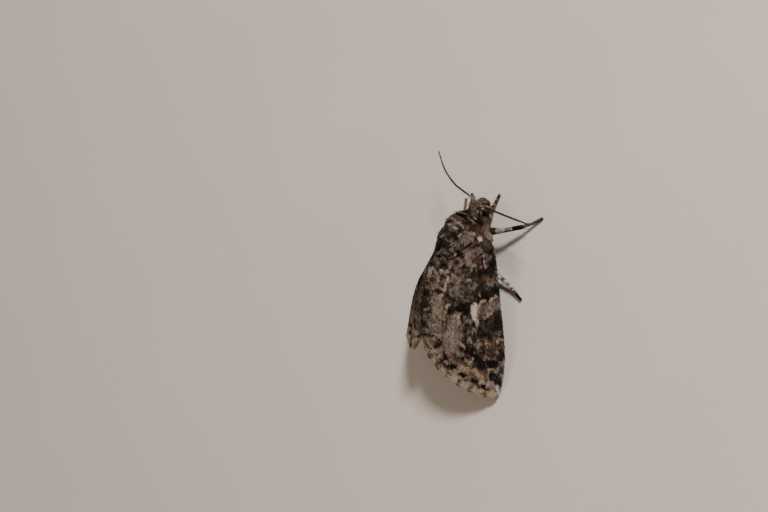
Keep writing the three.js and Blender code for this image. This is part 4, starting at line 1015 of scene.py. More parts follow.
class Finish:
    """A material and its node tree."""
    MIX_LOW, MIX_HIGH, MIX_RESULT = 6, 7, 2  # sockets of a Mix node that hold colours

    def __init__(self, name, constants):
        self.material = bpy.data.materials.new(name)
        self.material.use_nodes = True
        self.tree = self.material.node_tree
        self.shader = self.tree.nodes["Principled BSDF"]
        for socket, value in constants.items():
            self.shader.inputs[socket].default_value = value

    def node(self, kind, settings=None, inputs=None):
        """Adds a node: its settings come first, then values or links for its sockets by name or place."""
        node = self.tree.nodes.new(kind)
        for name, value in (settings or {}).items():
            setattr(node, name, value)
        for name, value in (inputs or {}).items():
            self.link(node.inputs[name], value)
        return node

    def link(self, socket, value):
        if isinstance(value, Value):
            value = value.socket
        if isinstance(value, bpy.types.NodeSocket):
            self.tree.links.new(value, socket)
        elif socket.type == "RGBA" and len(value) == 3:
            socket.default_value = (*value, 1.0)
        else:
            socket.default_value = value

    def set(self, socket, value):
        self.link(self.shader.inputs[socket], value)

    def attribute(self, name):
        node = self.node("ShaderNodeAttribute", {"attribute_name": name})
        return Value(self, node.outputs["Fac"])

    def millimetres(self):
        """The place on the object, in millimetres."""
        place_node = self.node("ShaderNodeTexCoord")
        scaled = self.node("ShaderNodeVectorMath", {"operation": "SCALE"},
                           {"Vector": place_node.outputs["Object"], "Scale": 1 / MM})
        return scaled.outputs["Vector"]

    def noise(self, scale, detail=2.0):
        node = self.node("ShaderNodeTexNoise", inputs={
            "Vector": self.millimetres(), "Scale": scale, "Detail": detail})
        return Value(self, node.outputs["Fac"])

    def mix(self, share, low, high):
        """One colour turned into another by a share."""
        node = self.node("ShaderNodeMix", {"data_type": "RGBA", "clamp_factor": True})
        self.link(node.inputs["Factor"], share)
        self.link(node.inputs[self.MIX_LOW], low)
        self.link(node.inputs[self.MIX_HIGH], high)
        return node.outputs[self.MIX_RESULT]

    def scale_colour(self, colour, amount):
        node = self.node("ShaderNodeVectorMath", {"operation": "SCALE"}, {"Vector": colour, "Scale": amount})
        return node.outputs["Vector"]

    def bump(self, height, distance, strength=1.0):
        node = self.node("ShaderNodeBump", inputs={
            "Height": height, "Distance": distance * MM, "Strength": strength})
        self.set("Normal", node.outputs["Normal"])


def set_scales(finish, colour, smoothest, span, ridges):
    """Scales of a colour, each a little lighter or darker, with their roughness and fine ridges."""
    grain = finish.noise(24.0)
    finish.set("Base Color", finish.scale_colour(colour, finish.attribute("tone") * (grain * 0.5 + 0.75)))
    finish.set("Roughness", grain * span + smoothest)
    finish.bump(finish.noise(ridges), 0.03)


def scaled_finish(name, colours, ground, smoothest=0.47):
    """Scales of a ground colour with the marks laid over it."""
    finish = Finish(name, {"Specular IOR Level": SCALE_SPECULAR})
    drift = finish.noise(3.0, 3.0)
    colour = finish.mix((drift - 0.4) * 1.4, ground, [c * 0.72 for c in ground])
    for kind in KINDS:
        colour = finish.mix(finish.attribute(kind), colour, getattr(colours, kind))
    set_scales(finish, colour, smoothest, 0.3, 38.0)
    return finish.material


def underside_finish(name, colours):
    """Greyish undersides, mottled a little."""
    finish = Finish(name, {"Specular IOR Level": SCALE_SPECULAR})
    low, high = ([c * share for c in colours.under] for share in (0.6, 1.25))
    colour = finish.mix(finish.noise(0.9, 3.0), low, high)
    colour = finish.mix(finish.attribute("dark"), colour, colours.dark)
    set_scales(finish, colour, 0.55, 0.25, 30.0)
    return finish.material


def cuticle_finish(name, colours):
    """Bare, faintly shiny cuticle with paler rings."""
    finish = Finish(name, {"Specular IOR Level": 0.2})
    low, high = ([c * share for c in colours.cuticle] for share in (0.6, 1.3))
    grain = finish.noise(14.0, 3.0)
    colour = finish.mix(grain, low, high)
    colour = finish.mix(finish.attribute("pale"), colour, colours.pale)
    colour = finish.mix(finish.attribute("dark"), colour, colours.dark)
    finish.set("Base Color", colour)
    finish.set("Roughness", grain * 0.25 + 0.4)
    finish.bump(finish.noise(40.0), 0.012)
    return finish.material


def eye_finish(name, colours):
    """Glossy dark facets."""
    finish = Finish(name, {"Specular IOR Level": 0.08, "Coat Weight": 0.01, "Coat Roughness": 0.3})
    facets = finish.node("ShaderNodeTexVoronoi", {"feature": "F1"},
                         {"Vector": finish.millimetres(), "Scale": 26.0})
    shade = Value(finish, facets.outputs["Distance"])
    finish.set("Base Color", finish.mix(finish.noise(2.2), colours.eye, [c * 2.4 for c in colours.eye]))
    finish.set("Roughness", shade * 0.15 + 0.36)
    finish.bump(1 - shade, 0.012, 0.7)
    return finish.material


def floor_finish(name, colours):
    """Matt, faintly brushed surface."""
    finish = Finish(name, {"Specular IOR Level": 0.2})
    worn = [c * 0.92 for c in colours.floor]
    finish.set("Base Color", finish.mix(finish.noise(0.05, 3.0), worn, colours.floor))
    finish.set("Roughness", finish.noise(1.5) * 0.2 + 0.7)
    finish.bump(finish.noise(2.2, 4.0), 0.03, 0.5)
    return finish.material


# ---------- body
OUTLINE_SAMPLES = 1600
OUTLINE_INSET = 0.002  # how far inside the tips of the body its outline starts and ends
BLUNT_END = 0.5  # length of either end that keeps its outline as it is
SKIN_ROWS, SKIN_COLUMNS = 460, 200
SKIN_INSET = 0.0005
PLACE_SAMPLES = 2000


def egg_outline(body, y):
    """Half width, top and bottom of one egg, drawn in by the depth of its coat."""
    coat = body["coat"]
    front, back = body["front"] + coat, body["back"] - coat
    ahead = (body["widest"] - y) / (body["widest"] - front)
    behind = (y - body["widest"]) / (back - body["widest"])
    turn = np.clip(np.where(y < body["widest"], ahead, behind), 0, 1)
    profile = (1 - turn ** body["power"]) ** (1 / body["power"])
    axis = np.interp(y, (body["front"], body["back"]), body["axis"])
    inside = (y > front) & (y < back)
    wide = np.where(inside, (body["wide"] - coat) * profile, 0)
    top = np.where(inside, axis + (body["up"] - coat) * profile, -FAR)
    bottom = np.where(inside, axis - (body["down"] - coat) * profile, FAR)
    return wide, top, bottom


def body_surface():
    """Head, thorax and abdomen as one skin, and the function that gives Y for a share of its length."""
    eggs = (HEAD, NECK, THORAX, CREST, ABDOMEN)
    front, back = HEAD["front"] + HEAD["coat"], ABDOMEN["back"] - ABDOMEN["coat"]
    y = np.linspace(front + OUTLINE_INSET, back - OUTLINE_INSET, OUTLINE_SAMPLES)
    outlines = [egg_outline(body, y) for body in eggs]
    wide = np.maximum.reduce([o[0] for o in outlines])
    top = np.maximum.reduce([o[1] for o in outlines])
    bottom = np.minimum.reduce([o[2] for o in outlines])
    step = y[1] - y[0]
    reach = int(3 * NECK_BLUR / step)
    kernel = np.exp(-0.5 * (np.arange(-reach, reach + 1) * step / NECK_BLUR) ** 2)
    kernel /= kernel.sum()
    inward = smooth(0, 1, np.minimum((y - y[0]) / BLUNT_END, (y[-1] - y) / BLUNT_END))

    def soften(line):
        padded = np.pad(line, reach, mode="edge")
        return line + (np.convolve(padded, kernel, "valid") - line) * inward

    wide, top, bottom = soften(wide), soften(top), soften(bottom)
    travel = np.hypot(np.hypot(np.diff(y), np.diff(top)), np.diff(wide))
    shares = np.concatenate([[0], np.cumsum(travel)])
    shares /= shares[-1]

    def place_along(u):
        return np.interp(u, shares, y)

    def point(u, v):
        # v is 0 under the body and grows up the moth's right side.
        u, v = np.broadcast_arrays(u, v)
        at = place_along(u)
        degrees = (v % 1) * 360 - 180
        turn = np.radians(degrees)
        radius = np.interp(u, shares, wide)
        high, low = np.interp(u, shares, top), np.interp(u, shares, bottom)
        swell = np.zeros(np.shape(at))
        for near, middle, half, half_degrees, rise in SWELLINGS.values():
            off = ((at - near) / half) ** 2 + ((np.abs(degrees) - middle) / half_degrees) ** 2
            swell = swell + rise * np.exp(-off)
        ridge = 0.5 - segment_share(at)
        swell = swell + smooth(2.4, 3.0, at) * SEGMENT_RIDGE * ridge * smooth(11.3, 10.6, at)
        middle_height = (high + low) / 2
        swell = swell * smooth(0, 1, radius)
        height = middle_height + np.cos(turn) * ((high - low) / 2 + swell)
        return np.stack([-np.sin(turn) * (radius + swell), at, height], -1)

    return Surface(point), place_along


def build_body_skin(_, colours):
    surface, place_along = body_surface()
    us = np.linspace(SKIN_INSET, 1 - SKIN_INSET, SKIN_ROWS)
    vs = np.arange(SKIN_COLUMNS) / SKIN_COLUMNS
    u, v = np.meshgrid(us, vs, indexing="ij")
    pile = Pile()
    add_skin(pile, surface, us, vs, body_marks(place_along(u), v * 360 - 180, surface.point(u, v)))
    skin = pile.write("body_skin", body_finish(colours), smooth_faces=True)
    place(skin, "thorax_scales", "thorax", "head", "abdomen")


def body_finish(colours):
    return bpy.data.materials.get("body scales") or scaled_finish("body scales", colours, colours.ground)


def share_at(place_along, y):
    """The share of the body's length at which places along Y lie."""
    shares = np.linspace(0, 1, PLACE_SAMPLES)
    return np.interp(y, place_along(shares), shares)


def tip_places(surface, u, v, length, lift):
    """Where the tips of scales come to lie."""
    normal, along = surface.frame(u, v)
    length, lift = (np.broadcast_to(value, np.shape(u))[:, None] for value in (length, lift))
    return surface.point(u, v) + (along + normal * lift) * length * 0.9


def add_body_coat(pile, surface, place_along, coat, length, lift, rng):
    """One of the coats of the body.  Its length and lift are functions of Y and degrees."""
    row_shares = np.linspace(*share_at(place_along, coat["span"]), coat["rows"])
    around = surface.point(row_shares[:, None], np.linspace(0, 1, 61)[None, :])
    girth = np.linalg.norm(np.diff(around, axis=1), axis=2).sum(1)
    u, v = scatter(row_shares, girth / coat["spacing"], rng)
    u = np.clip(u, 0.003, 0.997)
    y, degrees = place_along(u), (v % 1) * 360 - 180
    roots = surface.point(u, v)
    tips = tip_places(surface, u, v, length(y, degrees), lift(y, degrees))
    clear = np.full(len(y), True)
    for side in SIDES.values():
        for spots in (roots, tips):
            clear &= eye_distance(spots, side) > COAT_CLEAR
    u, v, y, degrees, tips = u[clear], v[clear], y[clear], degrees[clear], tips[clear]
    lengths = length(y, degrees)
    marks = body_marks(y + rng.normal(0, 0.03, len(y)) + lengths * 0.4, degrees, tips)
    add_scales(pile, surface, u, v, lengths, coat["width"], lift(y, degrees), rng, marks, shape=BLADE,
               spread=0.2)


def add_tufts(pile, surface, place_along, tuft, rng):
    """Long scales that stand out on both sides of the body, such as those that bridge the neck."""
    for side in SIDES.values():
        y = rng.uniform(*tuft["place"], tuft["count"])
        degrees = -side * rng.uniform(*tuft["degrees"], tuft["count"])
        u, v = share_at(place_along, y), degrees / 360 + 0.5
        tips = tip_places(surface, u, v, tuft["length"], tuft["lift"])
        clear = eye_distance(tips, side) > TUFT_CLEAR
        u, v, y, degrees, tips = u[clear], v[clear], y[clear], degrees[clear], tips[clear]
        marks = body_marks(y + tuft["length"] * 0.7, degrees, tips)
        add_scales(pile, surface, u, v, tuft["length"], tuft["width"], tuft["lift"], rng, marks, shape=BLADE,
                   spread=0.25)


def build_body_scales(sizes, colours):
    rng = np.random.default_rng(sizes.seed)
    surface, place_along = body_surface()
    material = body_finish(colours)

    def thorax_length(y, degrees):
        # Short on the collar, and longest beside the roots of the wings.
        beside = smooth(30, 50, np.abs(degrees)) * smooth(110, 90, np.abs(degrees))
        grown = 0.6 + 0.4 * smooth(-2.2, -1.2, y) + 0.5 * smooth(1.2, 2.2, y)
        return sizes.thorax_scale / MM * (grown + 0.9 * smooth(-0.7, 0.3, y) * beside)

    def thorax_lift(y, degrees):
        return 0.2 + 0.3 * smooth(-1.75, -2.1, y)

    def head_length(y, degrees):
        return sizes.head_scale / MM * (0.7 + 0.5 * smooth(-3.3, -2.6, y))

    def head_lift(y, degrees):
        return 0.3 + 0.35 * smooth(-2.75, -2.35, y) * smooth(110, 80, np.abs(degrees))

    def abdomen_length(y, degrees):
        brush = (1 + 0.8 * smooth(10.3, 11.2, y)) * (1 - 0.6 * smooth(11.0, 11.3, y))
        return sizes.abdomen_scale / MM * brush

    def abdomen_lift(y, degrees):
        return 0.14

    for name, tufts, length, lift in (
        ("thorax", ("collar", "wing_root", "crest"), thorax_length, thorax_lift),
        ("head", ("neck",), head_length, head_lift),
        ("abdomen", (), abdomen_length, abdomen_lift),
    ):
        pile = Pile()
        for tuft in tufts:
            add_tufts(pile, surface, place_along, TUFTS[tuft], rng)
        add_body_coat(pile, surface, place_along, COATS[name], length, lift, rng)
        place(pile.write(f"{name}_scales", material, patched=True), f"{name}_scales")


# ---------- head parts
def eye_surface(side, size=1.0):
    """An eye, by the shares of the way from its outermost point to its innermost and around them."""
    def point(u, v):
        polar = math.pi * u
        turn = 2 * math.pi * v
        ball = np.stack([np.cos(polar), np.sin(polar) * np.cos(turn), np.sin(polar) * np.sin(turn)], -1)
        return ball * EYE_RADII * (side, 1, 1) * size + EYE_CENTRE * (side, 1, 1)

    return Surface(point)


def build_eyes(sizes, colours):
    material = eye_finish("eye facets", colours)
    rng = np.random.default_rng(sizes.seed + 6)
    orbit = Pile()
    for name, side in SIDES.items():
        pile = Pile()
        turns = np.arange(56) / 56
        add_skin(pile, eye_surface(side), np.linspace(0.004, 0.996, 40), turns[::side])
        place(pile.write(f"eye_{name}", material, smooth_faces=True), "eye_gloss", f"eye_{name}")
        polar = ORBIT + rng.uniform(-0.03, 0.03, ORBIT_SCALES)
        around = np.arange(ORBIT_SCALES) / ORBIT_SCALES
        add_scales(orbit, eye_surface(side, ORBIT_SIZE), polar, around, 0.18, 0.09, 0.1, rng,
                   {"cream": 0.5, "pale": 0.4}, aim=math.pi / 2, spread=0.15)
    place(orbit.write("orbit_scales", body_finish(colours), patched=True), "head_scales")


def build_palps(sizes, colours):
    rng = np.random.default_rng(sizes.seed + 1)
    material = body_finish(colours)
    coat = Pile()
    for name, side in SIDES.items():
        path = Path([(x * side, y, z) for x, y, z in PALP_PATH])
        surface = tube_surface(path, stations(PALP_RADII))
        us, columns = np.linspace(0, 1, 40), 16
        skin = Pile()
        add_skin(skin, surface, us, np.arange(columns) / columns, palp_marks(np.repeat(us, columns)))
        place(skin.write(f"palp_{name}", material, smooth_faces=True), "head_scales")
        u, v = scatter(np.linspace(0.04, 0.95, 34), np.full(34, 20), rng)
        marks = palp_marks(u)
        add_scales(coat, surface, np.clip(u, 0.01, 0.97), v, 0.24, 0.07, 0.3, rng, marks, shape=BLADE)
    place(coat.write("palp_scales", material, patched=True), "head_scales")
    build_tongue(colours)


def palp_marks(along):
    marks = Marks(along)
    marks.put("rust", 0.95 * smooth(0.0, 0.3, along))
    marks.put("pale", 0.9 * smooth(0.3, 0.6, along))
    marks.put("cream", 0.4 * smooth(0.88, 0.97, along))
    return marks.shares


def build_tongue(colours):
    """The coiled tongue between the palps."""
    turns, inner, outer = 2.2, 0.05, 0.17
    centre = (0.0, -3.32, 2.06)
    share = np.linspace(0, 1, 60)
    angle = 2 * math.pi * turns * share
    radius = outer + (inner - outer) * share
    spiral = np.stack([0 * share, np.cos(angle) * radius, np.sin(angle) * radius], -1) + centre
    surface = tube_surface(Path(spiral), stations(((0, 0.05), (1, 0.025))))
    pile = Pile()
    add_skin(pile, surface, np.linspace(0, 1, 120), np.arange(10) / 10)
    tongue = pile.write("tongue", cuticle_finish("tongue cuticle", colours), smooth_faces=True)
    place(tongue, "antenna_cuticle")


def build_antennae(sizes, colours):
    rng = np.random.default_rng(sizes.seed + 2)
    material = cuticle_finish("antenna cuticle", colours)
    radius = sizes.antenna / MM / 2
    taper = stations(ANTENNA_TAPER)

    def girth(share):
        ring = (share * ANTENNA_SEGMENTS) % 1
        return radius * taper(share) * (0.92 + 0.16 * smooth(0, 0.85, ring) * smooth(1, 0.9, ring))

    for name, points in ANTENNAE.items():
        surface = tube_surface(Path(points), girth)
        us = np.linspace(0, 1, ANTENNA_SEGMENTS * 6 + 1)
        vs = np.arange(12) / 12
        ring = np.repeat((us * ANTENNA_SEGMENTS) % 1, len(vs))
        along = np.repeat(us, len(vs))
        pile = Pile()
        add_skin(pile, surface, us, vs, {
            "pale": smooth(0.2, 0.1, along) + 0.4 * smooth(0.75, 0.95, ring) + 0.15 * along,
            "dark": 0.4 * smooth(0.6, 0.4, along) * smooth(0.12, 0.22, along),
        })
        places = np.add.outer(np.arange(6, ANTENNA_SEGMENTS), (0.35, 0.7)) / ANTENNA_SEGMENTS
        u = np.repeat(places.ravel(), 6)
        v = np.tile(np.arange(6) / 6, places.size) + rng.uniform(-0.05, 0.05, len(u))
        add_scales(pile, surface, u, v, 0.09, 0.035, 0.35, rng,
                   {"dark": 0.4 * smooth(0.12, 0.22, u), "pale": 0.8 * smooth(0.2, 0.1, u)})
        # Pale scales on the swollen base.
        u, v = scatter(np.linspace(0.006, 0.1, 18), np.full(18, 14), rng)
        add_scales(pile, surface, u, v, 0.16, 0.06, 0.2, rng, {"pale": 0.75})
        place(pile.write(name, material, smooth_faces=True, patched=True), "antenna_cuticle", name)


# ---------- wings
def vein_share(veins, along, across):
    """Height of the veins, from 0 to 1."""
    width = np.interp(along, *WING_WIDTHS)
    height = np.zeros(np.shape(across))
    for middle, start, end in veins:
        off = (across - middle) * width / VEIN_HALF_WIDTH
        fade = smooth(start - 0.03, start + 0.03, along) * smooth(end + 0.02, end - 0.03, along)
        height = np.maximum(height, np.exp(-off * off) * fade)
    return height


def forewing_face(side):
    """The outline of a forewing's upper face, as its solid has it."""
    put = WING_SET[side]
    leading = Path([(x * put["spread"] * side, y * put["reach"], z) for x, y, z in LEADING_EDGE])
    climb = [(x * side, y, z) for x, y, z in RIDGE_CLIMB]
    trailing = Path([*climb, *[(put["ridge_x"], y, z) for y, z in RIDGE_LINE]])

    def point(along, across):
        along, across = np.broadcast_arrays(along, across)
        share = np.clip(along, 0, 1)
        front, back = leading.at(share), trailing.at(share)
        spot = front + (back - front) * across[..., None]
        arch = np.clip(np.sin(math.pi * np.clip(across, 0, 1)), 0, None)
        rise = put["camber"] * arch * smooth(0.05, 0.75, share)
        spot[..., 0] += rise * 0.5 * side
        spot[..., 1] += put["bow"] * arch**BOW_POWER * share**BOW_REACH
        spot[..., 2] += rise
        return spot

    return Surface(point, outward=side)


def hindwing_face(side):
    """A window of the forewing's face, moved in under it."""
    cover = forewing_face(side)
    (start, end), (front, back) = HINDWING_WINDOW

    def point(along, across):
        t = start + (end - start) * np.clip(along, 0, 1)
        w = front + (back - front) * across
        normal, _ = cover.frame(t, w)
        return cover.point(t, w) - normal * HINDWING_DEPTH

    return Surface(point, outward=side)


def veined(face, veins, height, pleat):
    """A face drawn in by the coat's depth, with its veins raised and faint pleats between them."""
    def point(along, across):
        inside = np.clip(along, 0.004, 0.996), np.clip(across, 0.004, 0.996)
        normal, _ = face.frame(*inside)
        rise = height * vein_share(veins, along, across) - WING_COAT
        crease = noise(along * 9, across * 30, 5) - 0.5
        return face.point(along, across) + normal * (rise + pleat * crease)[..., None]

    return Surface(point, outward=face.outward)


def margin_reach(across, veins, edge):
    """Where the membrane ends along the wing: scalloped between the veins."""
    gaps = np.min([np.abs(across - v[0]) for v in veins], axis=0)
    return edge - SCALLOP * smooth(0.01, 0.05, gaps)


def add_membrane(pile, surface, veins, edge, thickness, rows, columns, marks):
    """A wing's membrane as a closed sheet, thicker along the leading edge."""
    across = np.linspace(0.004, 0.996, columns)
    share = np.linspace(0.004, 1, rows)
    w = np.broadcast_to(across, (rows, columns))
    t = share[:, None] * margin_reach(across, veins, edge)[None, :]
    top = surface.point(t, w)
    normal, _ = surface.frame(t, w)
    width = np.interp(t, *WING_WIDTHS)
    deep = thickness * (1 + 1.8 * np.exp(-((w * width / 0.22) ** 2)))
    bottom = top - normal * deep[..., None]
    values = marks(t, w)
    both = {name: np.concatenate([value.ravel(), value.ravel()]) for name, value in values.items()}
    i, j = np.meshgrid(np.arange(rows - 1), np.arange(columns - 1), indexing="ij")
    a = i * columns + j
    quads = np.stack([a, a + 1, a + columns + 1, a + columns], -1).reshape(-1, 4)
    under = quads[:, ::-1] + rows * columns
    rim = np.concatenate([
        np.arange(columns),
        np.arange(1, rows) * columns + columns - 1,
        (rows - 1) * columns + np.arange(columns - 2, -1, -1),
        np.arange(rows - 2, 0, -1) * columns,
    ])
    following = np.roll(rim, -1)
    wall = np.stack([following, rim, rim + rows * columns, following + rows * columns], -1)
    faces = np.vstack([quads, under, wall])
    if surface.outward > 0:
        faces = faces[:, ::-1]
    flat = np.stack([t, w * 0.49], -1)
    patches = np.concatenate([flat, flat + (0, 0.5)])
    pile.add(np.concatenate([top, bottom]), [faces[:, ::-1]], both, patches)


def wing_finish(colours):
    name = "forewing scales"
    return bpy.data.materials.get(name) or scaled_finish(name, colours, colours.ground, 0.43)


def forewing_surface(side, sizes):
    return veined(forewing_face(side), FOREWING_VEINS, sizes.vein / MM, PLEAT)


def build_forewings(sizes, colours):
    for name, side in SIDES.items():
        pile, surface = Pile(), forewing_surface(side, sizes)
        add_membrane(pile, surface, FOREWING_VEINS, MARGIN, sizes.membrane / MM, 170, 150,
                     lambda t, w: wing_marks(t, w, WING_SET[side]["shade"]))
        wing = pile.write(f"forewing_{name}", wing_finish(colours), smooth_faces=True, patched=True)
        place(wing, "forewing_scales", f"forewing_{name}")


def add_wing_scales(pile, surface, side, length, rng):
    """Shingles of scales over a forewing."""
    rows = np.arange(0.01, 0.97, WING_ROW_SPACING / WING_LENGTH)
    u, v = scatter(rows, np.interp(rows, *WING_WIDTHS) / WING_SCALE_SPACING, rng)
    keep = (v > 0.003) & (v < 0.997)
    u, v = u[keep], v[keep]
    ragged = rng.normal(0, 0.004, (2, len(u)))
    shown = u + ragged[0] + length * 0.6 / WING_LENGTH, np.clip(v + ragged[1] * 1.4, 0, 1)
    marks = wing_marks(*shown, WING_SET[side]["shade"])
    add_scales(pile, surface, u, v, length, 0.075, 0.16, rng, marks, aim=-side * 0.25 * (v - 0.5))


def add_margin_fringe(pile, surface, side, length, rng):
    """Layers of long scales past a forewing's margin."""
    trail = WING_SET[side]["trail"]
    count = FRINGE_SCALES
    for layer, (back, stretch) in enumerate(FRINGE_LAYERS):
        v = (np.arange(count) + rng.uniform(0, 1, count)) / count * 0.984 + 0.008
        u = margin_reach(v, FOREWING_VEINS, MARGIN) - back
        marks = wing_marks(np.full(count, 0.97), v + rng.normal(0, 0.004, count))
        reach = length * stretch * (1 + trail * smooth(0.45, 0.9, v))
        turn = 0.5 * (v - 0.5) + 0.3 * trail * smooth(0.8, 1, v)
        add_scales(pile, surface, u, v, reach, 0.09, 0.03 - 0.03 * layer, rng, marks, shape=BLADE,
                   aim=-side * turn, spread=0.1)


def add_edge_hairs(pile, surface, side, rng):
    """Hairs along both long edges of a forewing, and the comb on its trailing one."""
    put = WING_SET[side]
    for edge, turn, span in EDGE_HAIRS:
        u = rng.uniform(*span, EDGE_SCALES)
        v = np.full(EDGE_SCALES, edge)
        reach = (0.26 + 0.3 * smooth(0.8, 0.95, u)) * (1 + 0.5 * put["trail"])
        add_scales(pile, surface, u, v, reach, 0.07, 0.02, rng, wing_marks(u, v, put["shade"]),
                   shape=BLADE, aim=-side * turn)
    u = np.sort(rng.uniform(0.03, 0.97, COMB_SCALES))
    v = rng.uniform(0.975, 0.997, COMB_SCALES)
    reach = 0.2 + 0.16 * put["comb"]
    add_scales(pile, surface, u, v, reach, 0.08, 0.02, rng, wing_marks(u, v, put["shade"]),
               shape=BLADE, aim=-side * (0.7 + 0.4 * put["comb"]))


def build_forewing_scales(sizes, colours):
    rng = np.random.default_rng(sizes.seed + 3)
    for name, side in SIDES.items():
        surface = forewing_surface(side, sizes)
        coat, fringe = Pile(), Pile()
        add_wing_scales(coat, surface, side, sizes.wing_scale / MM, rng)
        add_margin_fringe(fringe, surface, side, sizes.fringe / MM, rng)
        add_edge_hairs(fringe, surface, side, rng)
        for pile, kind in ((coat, "scales"), (fringe, "fringe")):
            piece = pile.write(f"forewing_{kind}_{name}", wing_finish(colours), patched=True)
            place(piece, "forewing_scales")


def build_hindwings(sizes, colours):
    rng = np.random.default_rng(sizes.seed + 4)
    material = underside_finish("hindwing scales", colours)

    def marks(along, across):
        return {"dark": 0.35 * smooth(0.7, 0.95, along) + 0.4 * vein_share(HINDWING_VEINS, along, across)}

    for name, side in SIDES.items():
        surface = veined(hindwing_face(side), HINDWING_VEINS, sizes.vein / MM, HINDWING_PLEAT)
        pile = Pile()
        add_membrane(pile, surface, HINDWING_VEINS, HINDWING_MARGIN, sizes.membrane / MM, 80, 70, marks)
        wing = pile.write(f"hindwing_{name}", material, smooth_faces=True, patched=True)
        place(wing, "hindwing_scales", f"hindwing_{name}")
        coat = Pile()
        rows = np.linspace(0.02, 0.96, HINDWING_ROWS)
        u, v = scatter(rows, 20 + 34 * rows, rng)
        keep = (v > 0.01) & (v < 0.99)
        u, v = u[keep], v[keep]
        add_scales(coat, surface, u, v, 0.3, 0.13, 0.1, rng, marks(u, v))
        v = rng.uniform(0.02, 0.98, HINDWING_FRINGE_SCALES)
        u = np.full(HINDWING_FRINGE_SCALES, HINDWING_MARGIN - 0.01)
        add_scales(coat, surface, u, v, 0.6, 0.09, 0.02, rng, marks(u, v), shape=BLADE)
        place(coat.write(f"hindwing_scales_{name}", material, patched=True), "hindwing_scales")


# ---------- legs
def leg_marks(bands, along):
    marks = Marks(along)
    for kind, strength, start, end in bands:
        band = smooth(start - 0.03, start + 0.02, along)
        marks.put(kind, strength * band * smooth(end + 0.03, end - 0.02, along))
    return marks.shares


def foot_place(along):
    """Which segment of the foot a share of its length lies in, and the share within it."""
    edges = np.concatenate([[0], np.cumsum(FOOT_SEGMENTS)])
    index = np.clip(np.searchsorted(edges, along, side="right") - 1, 0, len(FOOT_SEGMENTS) - 1)
    return index, (along - edges[index]) / np.array(FOOT_SEGMENTS)[index]


def foot_radius(along):
    _, within = foot_place(along)
    return (0.145 - 0.035 * along) * (0.84 + 0.22 * smooth(0.1, 0.9, within))


def build_legs(sizes, colours):
    rng = np.random.default_rng(sizes.seed + 5)
    scales = scaled_finish("leg scales", colours, [c * 0.8 for c in colours.ground])
    cuticle = cuticle_finish("claw cuticle", colours)
    for name, joints in LEGS.items():
        skin, coat, bare = Pile(), Pile(), Pile()
        pair = name.split("_")[1]
        root, knee, ankle, sole, toe = [np.array(j, float) for j in joints]
        # Thigh, shin and foot: path, radius, and the length of the scales and how many stand around.
        stretches = [
            (Path([root, knee]), stations(THIGH_RADII), 0.3, 26),
            (Path([knee, ankle]), stations(SHIN_RADII), 0.24, 26),
            (Path([ankle, sole, toe]), foot_radius, 0.13, 20),
        ]
        for (path, radius, length, around), bands in zip(stretches, LEG_BANDS[pair]):
            surface = tube_surface(path, radius)
            us, columns = np.linspace(0, 1, 90), 14
            marks = leg_marks(bands, np.repeat(us, columns))
            add_skin(skin, surface, us, np.arange(columns) / columns, marks)
            rows = np.arange(0.01, 0.99, LEG_ROW_SPACING / path.length)
            u, v = scatter(rows, np.full(len(rows), around), rng)
            u = np.clip(u, 0.005, 0.985)
            marks = leg_marks(bands, u + length * 0.4 / path.length)
            add_scales(coat, surface, u, v, length, length * 0.32, 0.22, rng, marks, shape=BLADE)
        for share in SPUR_PLACES[pair]:
            for turn in (1, -1):
                add_spur(bare, knee, ankle, share, turn)
        add_claws(bare, sole, toe)
        place(settled(skin.write(name, scales, smooth_faces=True)), "leg_scales", name)
        place(settled(coat.write(f"{name}_scales", scales, patched=True)), "leg_scales")
        place(settled(bare.write(f"{name}_spurs", cuticle, smooth_faces=True)), "leg_scales")


def add_spur(pile, knee, ankle, share, turn):
    """One spur of the shin, at a share of its length, on the side that `turn` gives."""
    shin = unit(ankle - knee)
    across = unit(np.cross(shin, (0, 0, 1.0)))
    aim = unit(shin * 0.65 + across * turn * 0.35)
    start = knee + (ankle - knee) * share - shin * 0.1
    path = Path([start, start + aim * SPUR_LENGTH * 0.5 + (0, 0, 0.02), start + aim * SPUR_LENGTH])
    surface = tube_surface(path, stations(((0, 0.05), (0.5, 0.06), (1, 0.012))))
    rows, columns = 12, 8
    pale = np.repeat(np.linspace(0.6, 0, rows), columns)
    add_skin(pile, surface, np.linspace(0, 1, rows), np.arange(columns) / columns, {"pale": pale})


def add_claws(pile, sole, toe):
    """Two hooked claws that meet the floor past the toe."""
    forward = unit((toe - sole) * (1, 1, 0))
    across = np.cross(forward, (0, 0, 1.0))
    for turn in (1, -1):
        start = toe + across * 0.03 * turn
        middle = start + forward * 0.09 + across * 0.06 * turn + (0, 0, 0.01)
        tip = start + forward * 0.16 + across * 0.07 * turn
        tip[2] = 0.012
        surface = tube_surface(Path([start, middle, tip]), stations(((0, 0.035), (0.6, 0.022), (1, 0.005))))
        add_skin(pile, surface, np.linspace(0, 1, 12), np.arange(8) / 8)


def settled(piece):
    """Flattens whatever would reach below the floor, and hands the piece back."""
    mesh = piece.data
    places = np.zeros(len(mesh.vertices) * 3, np.float32)
    mesh.vertices.foreach_get("co", places)
    places[2::3] = np.maximum(places[2::3], FLOOR_GAP * MM)
    mesh.vertices.foreach_set("co", places)
    mesh.update()
    return piece


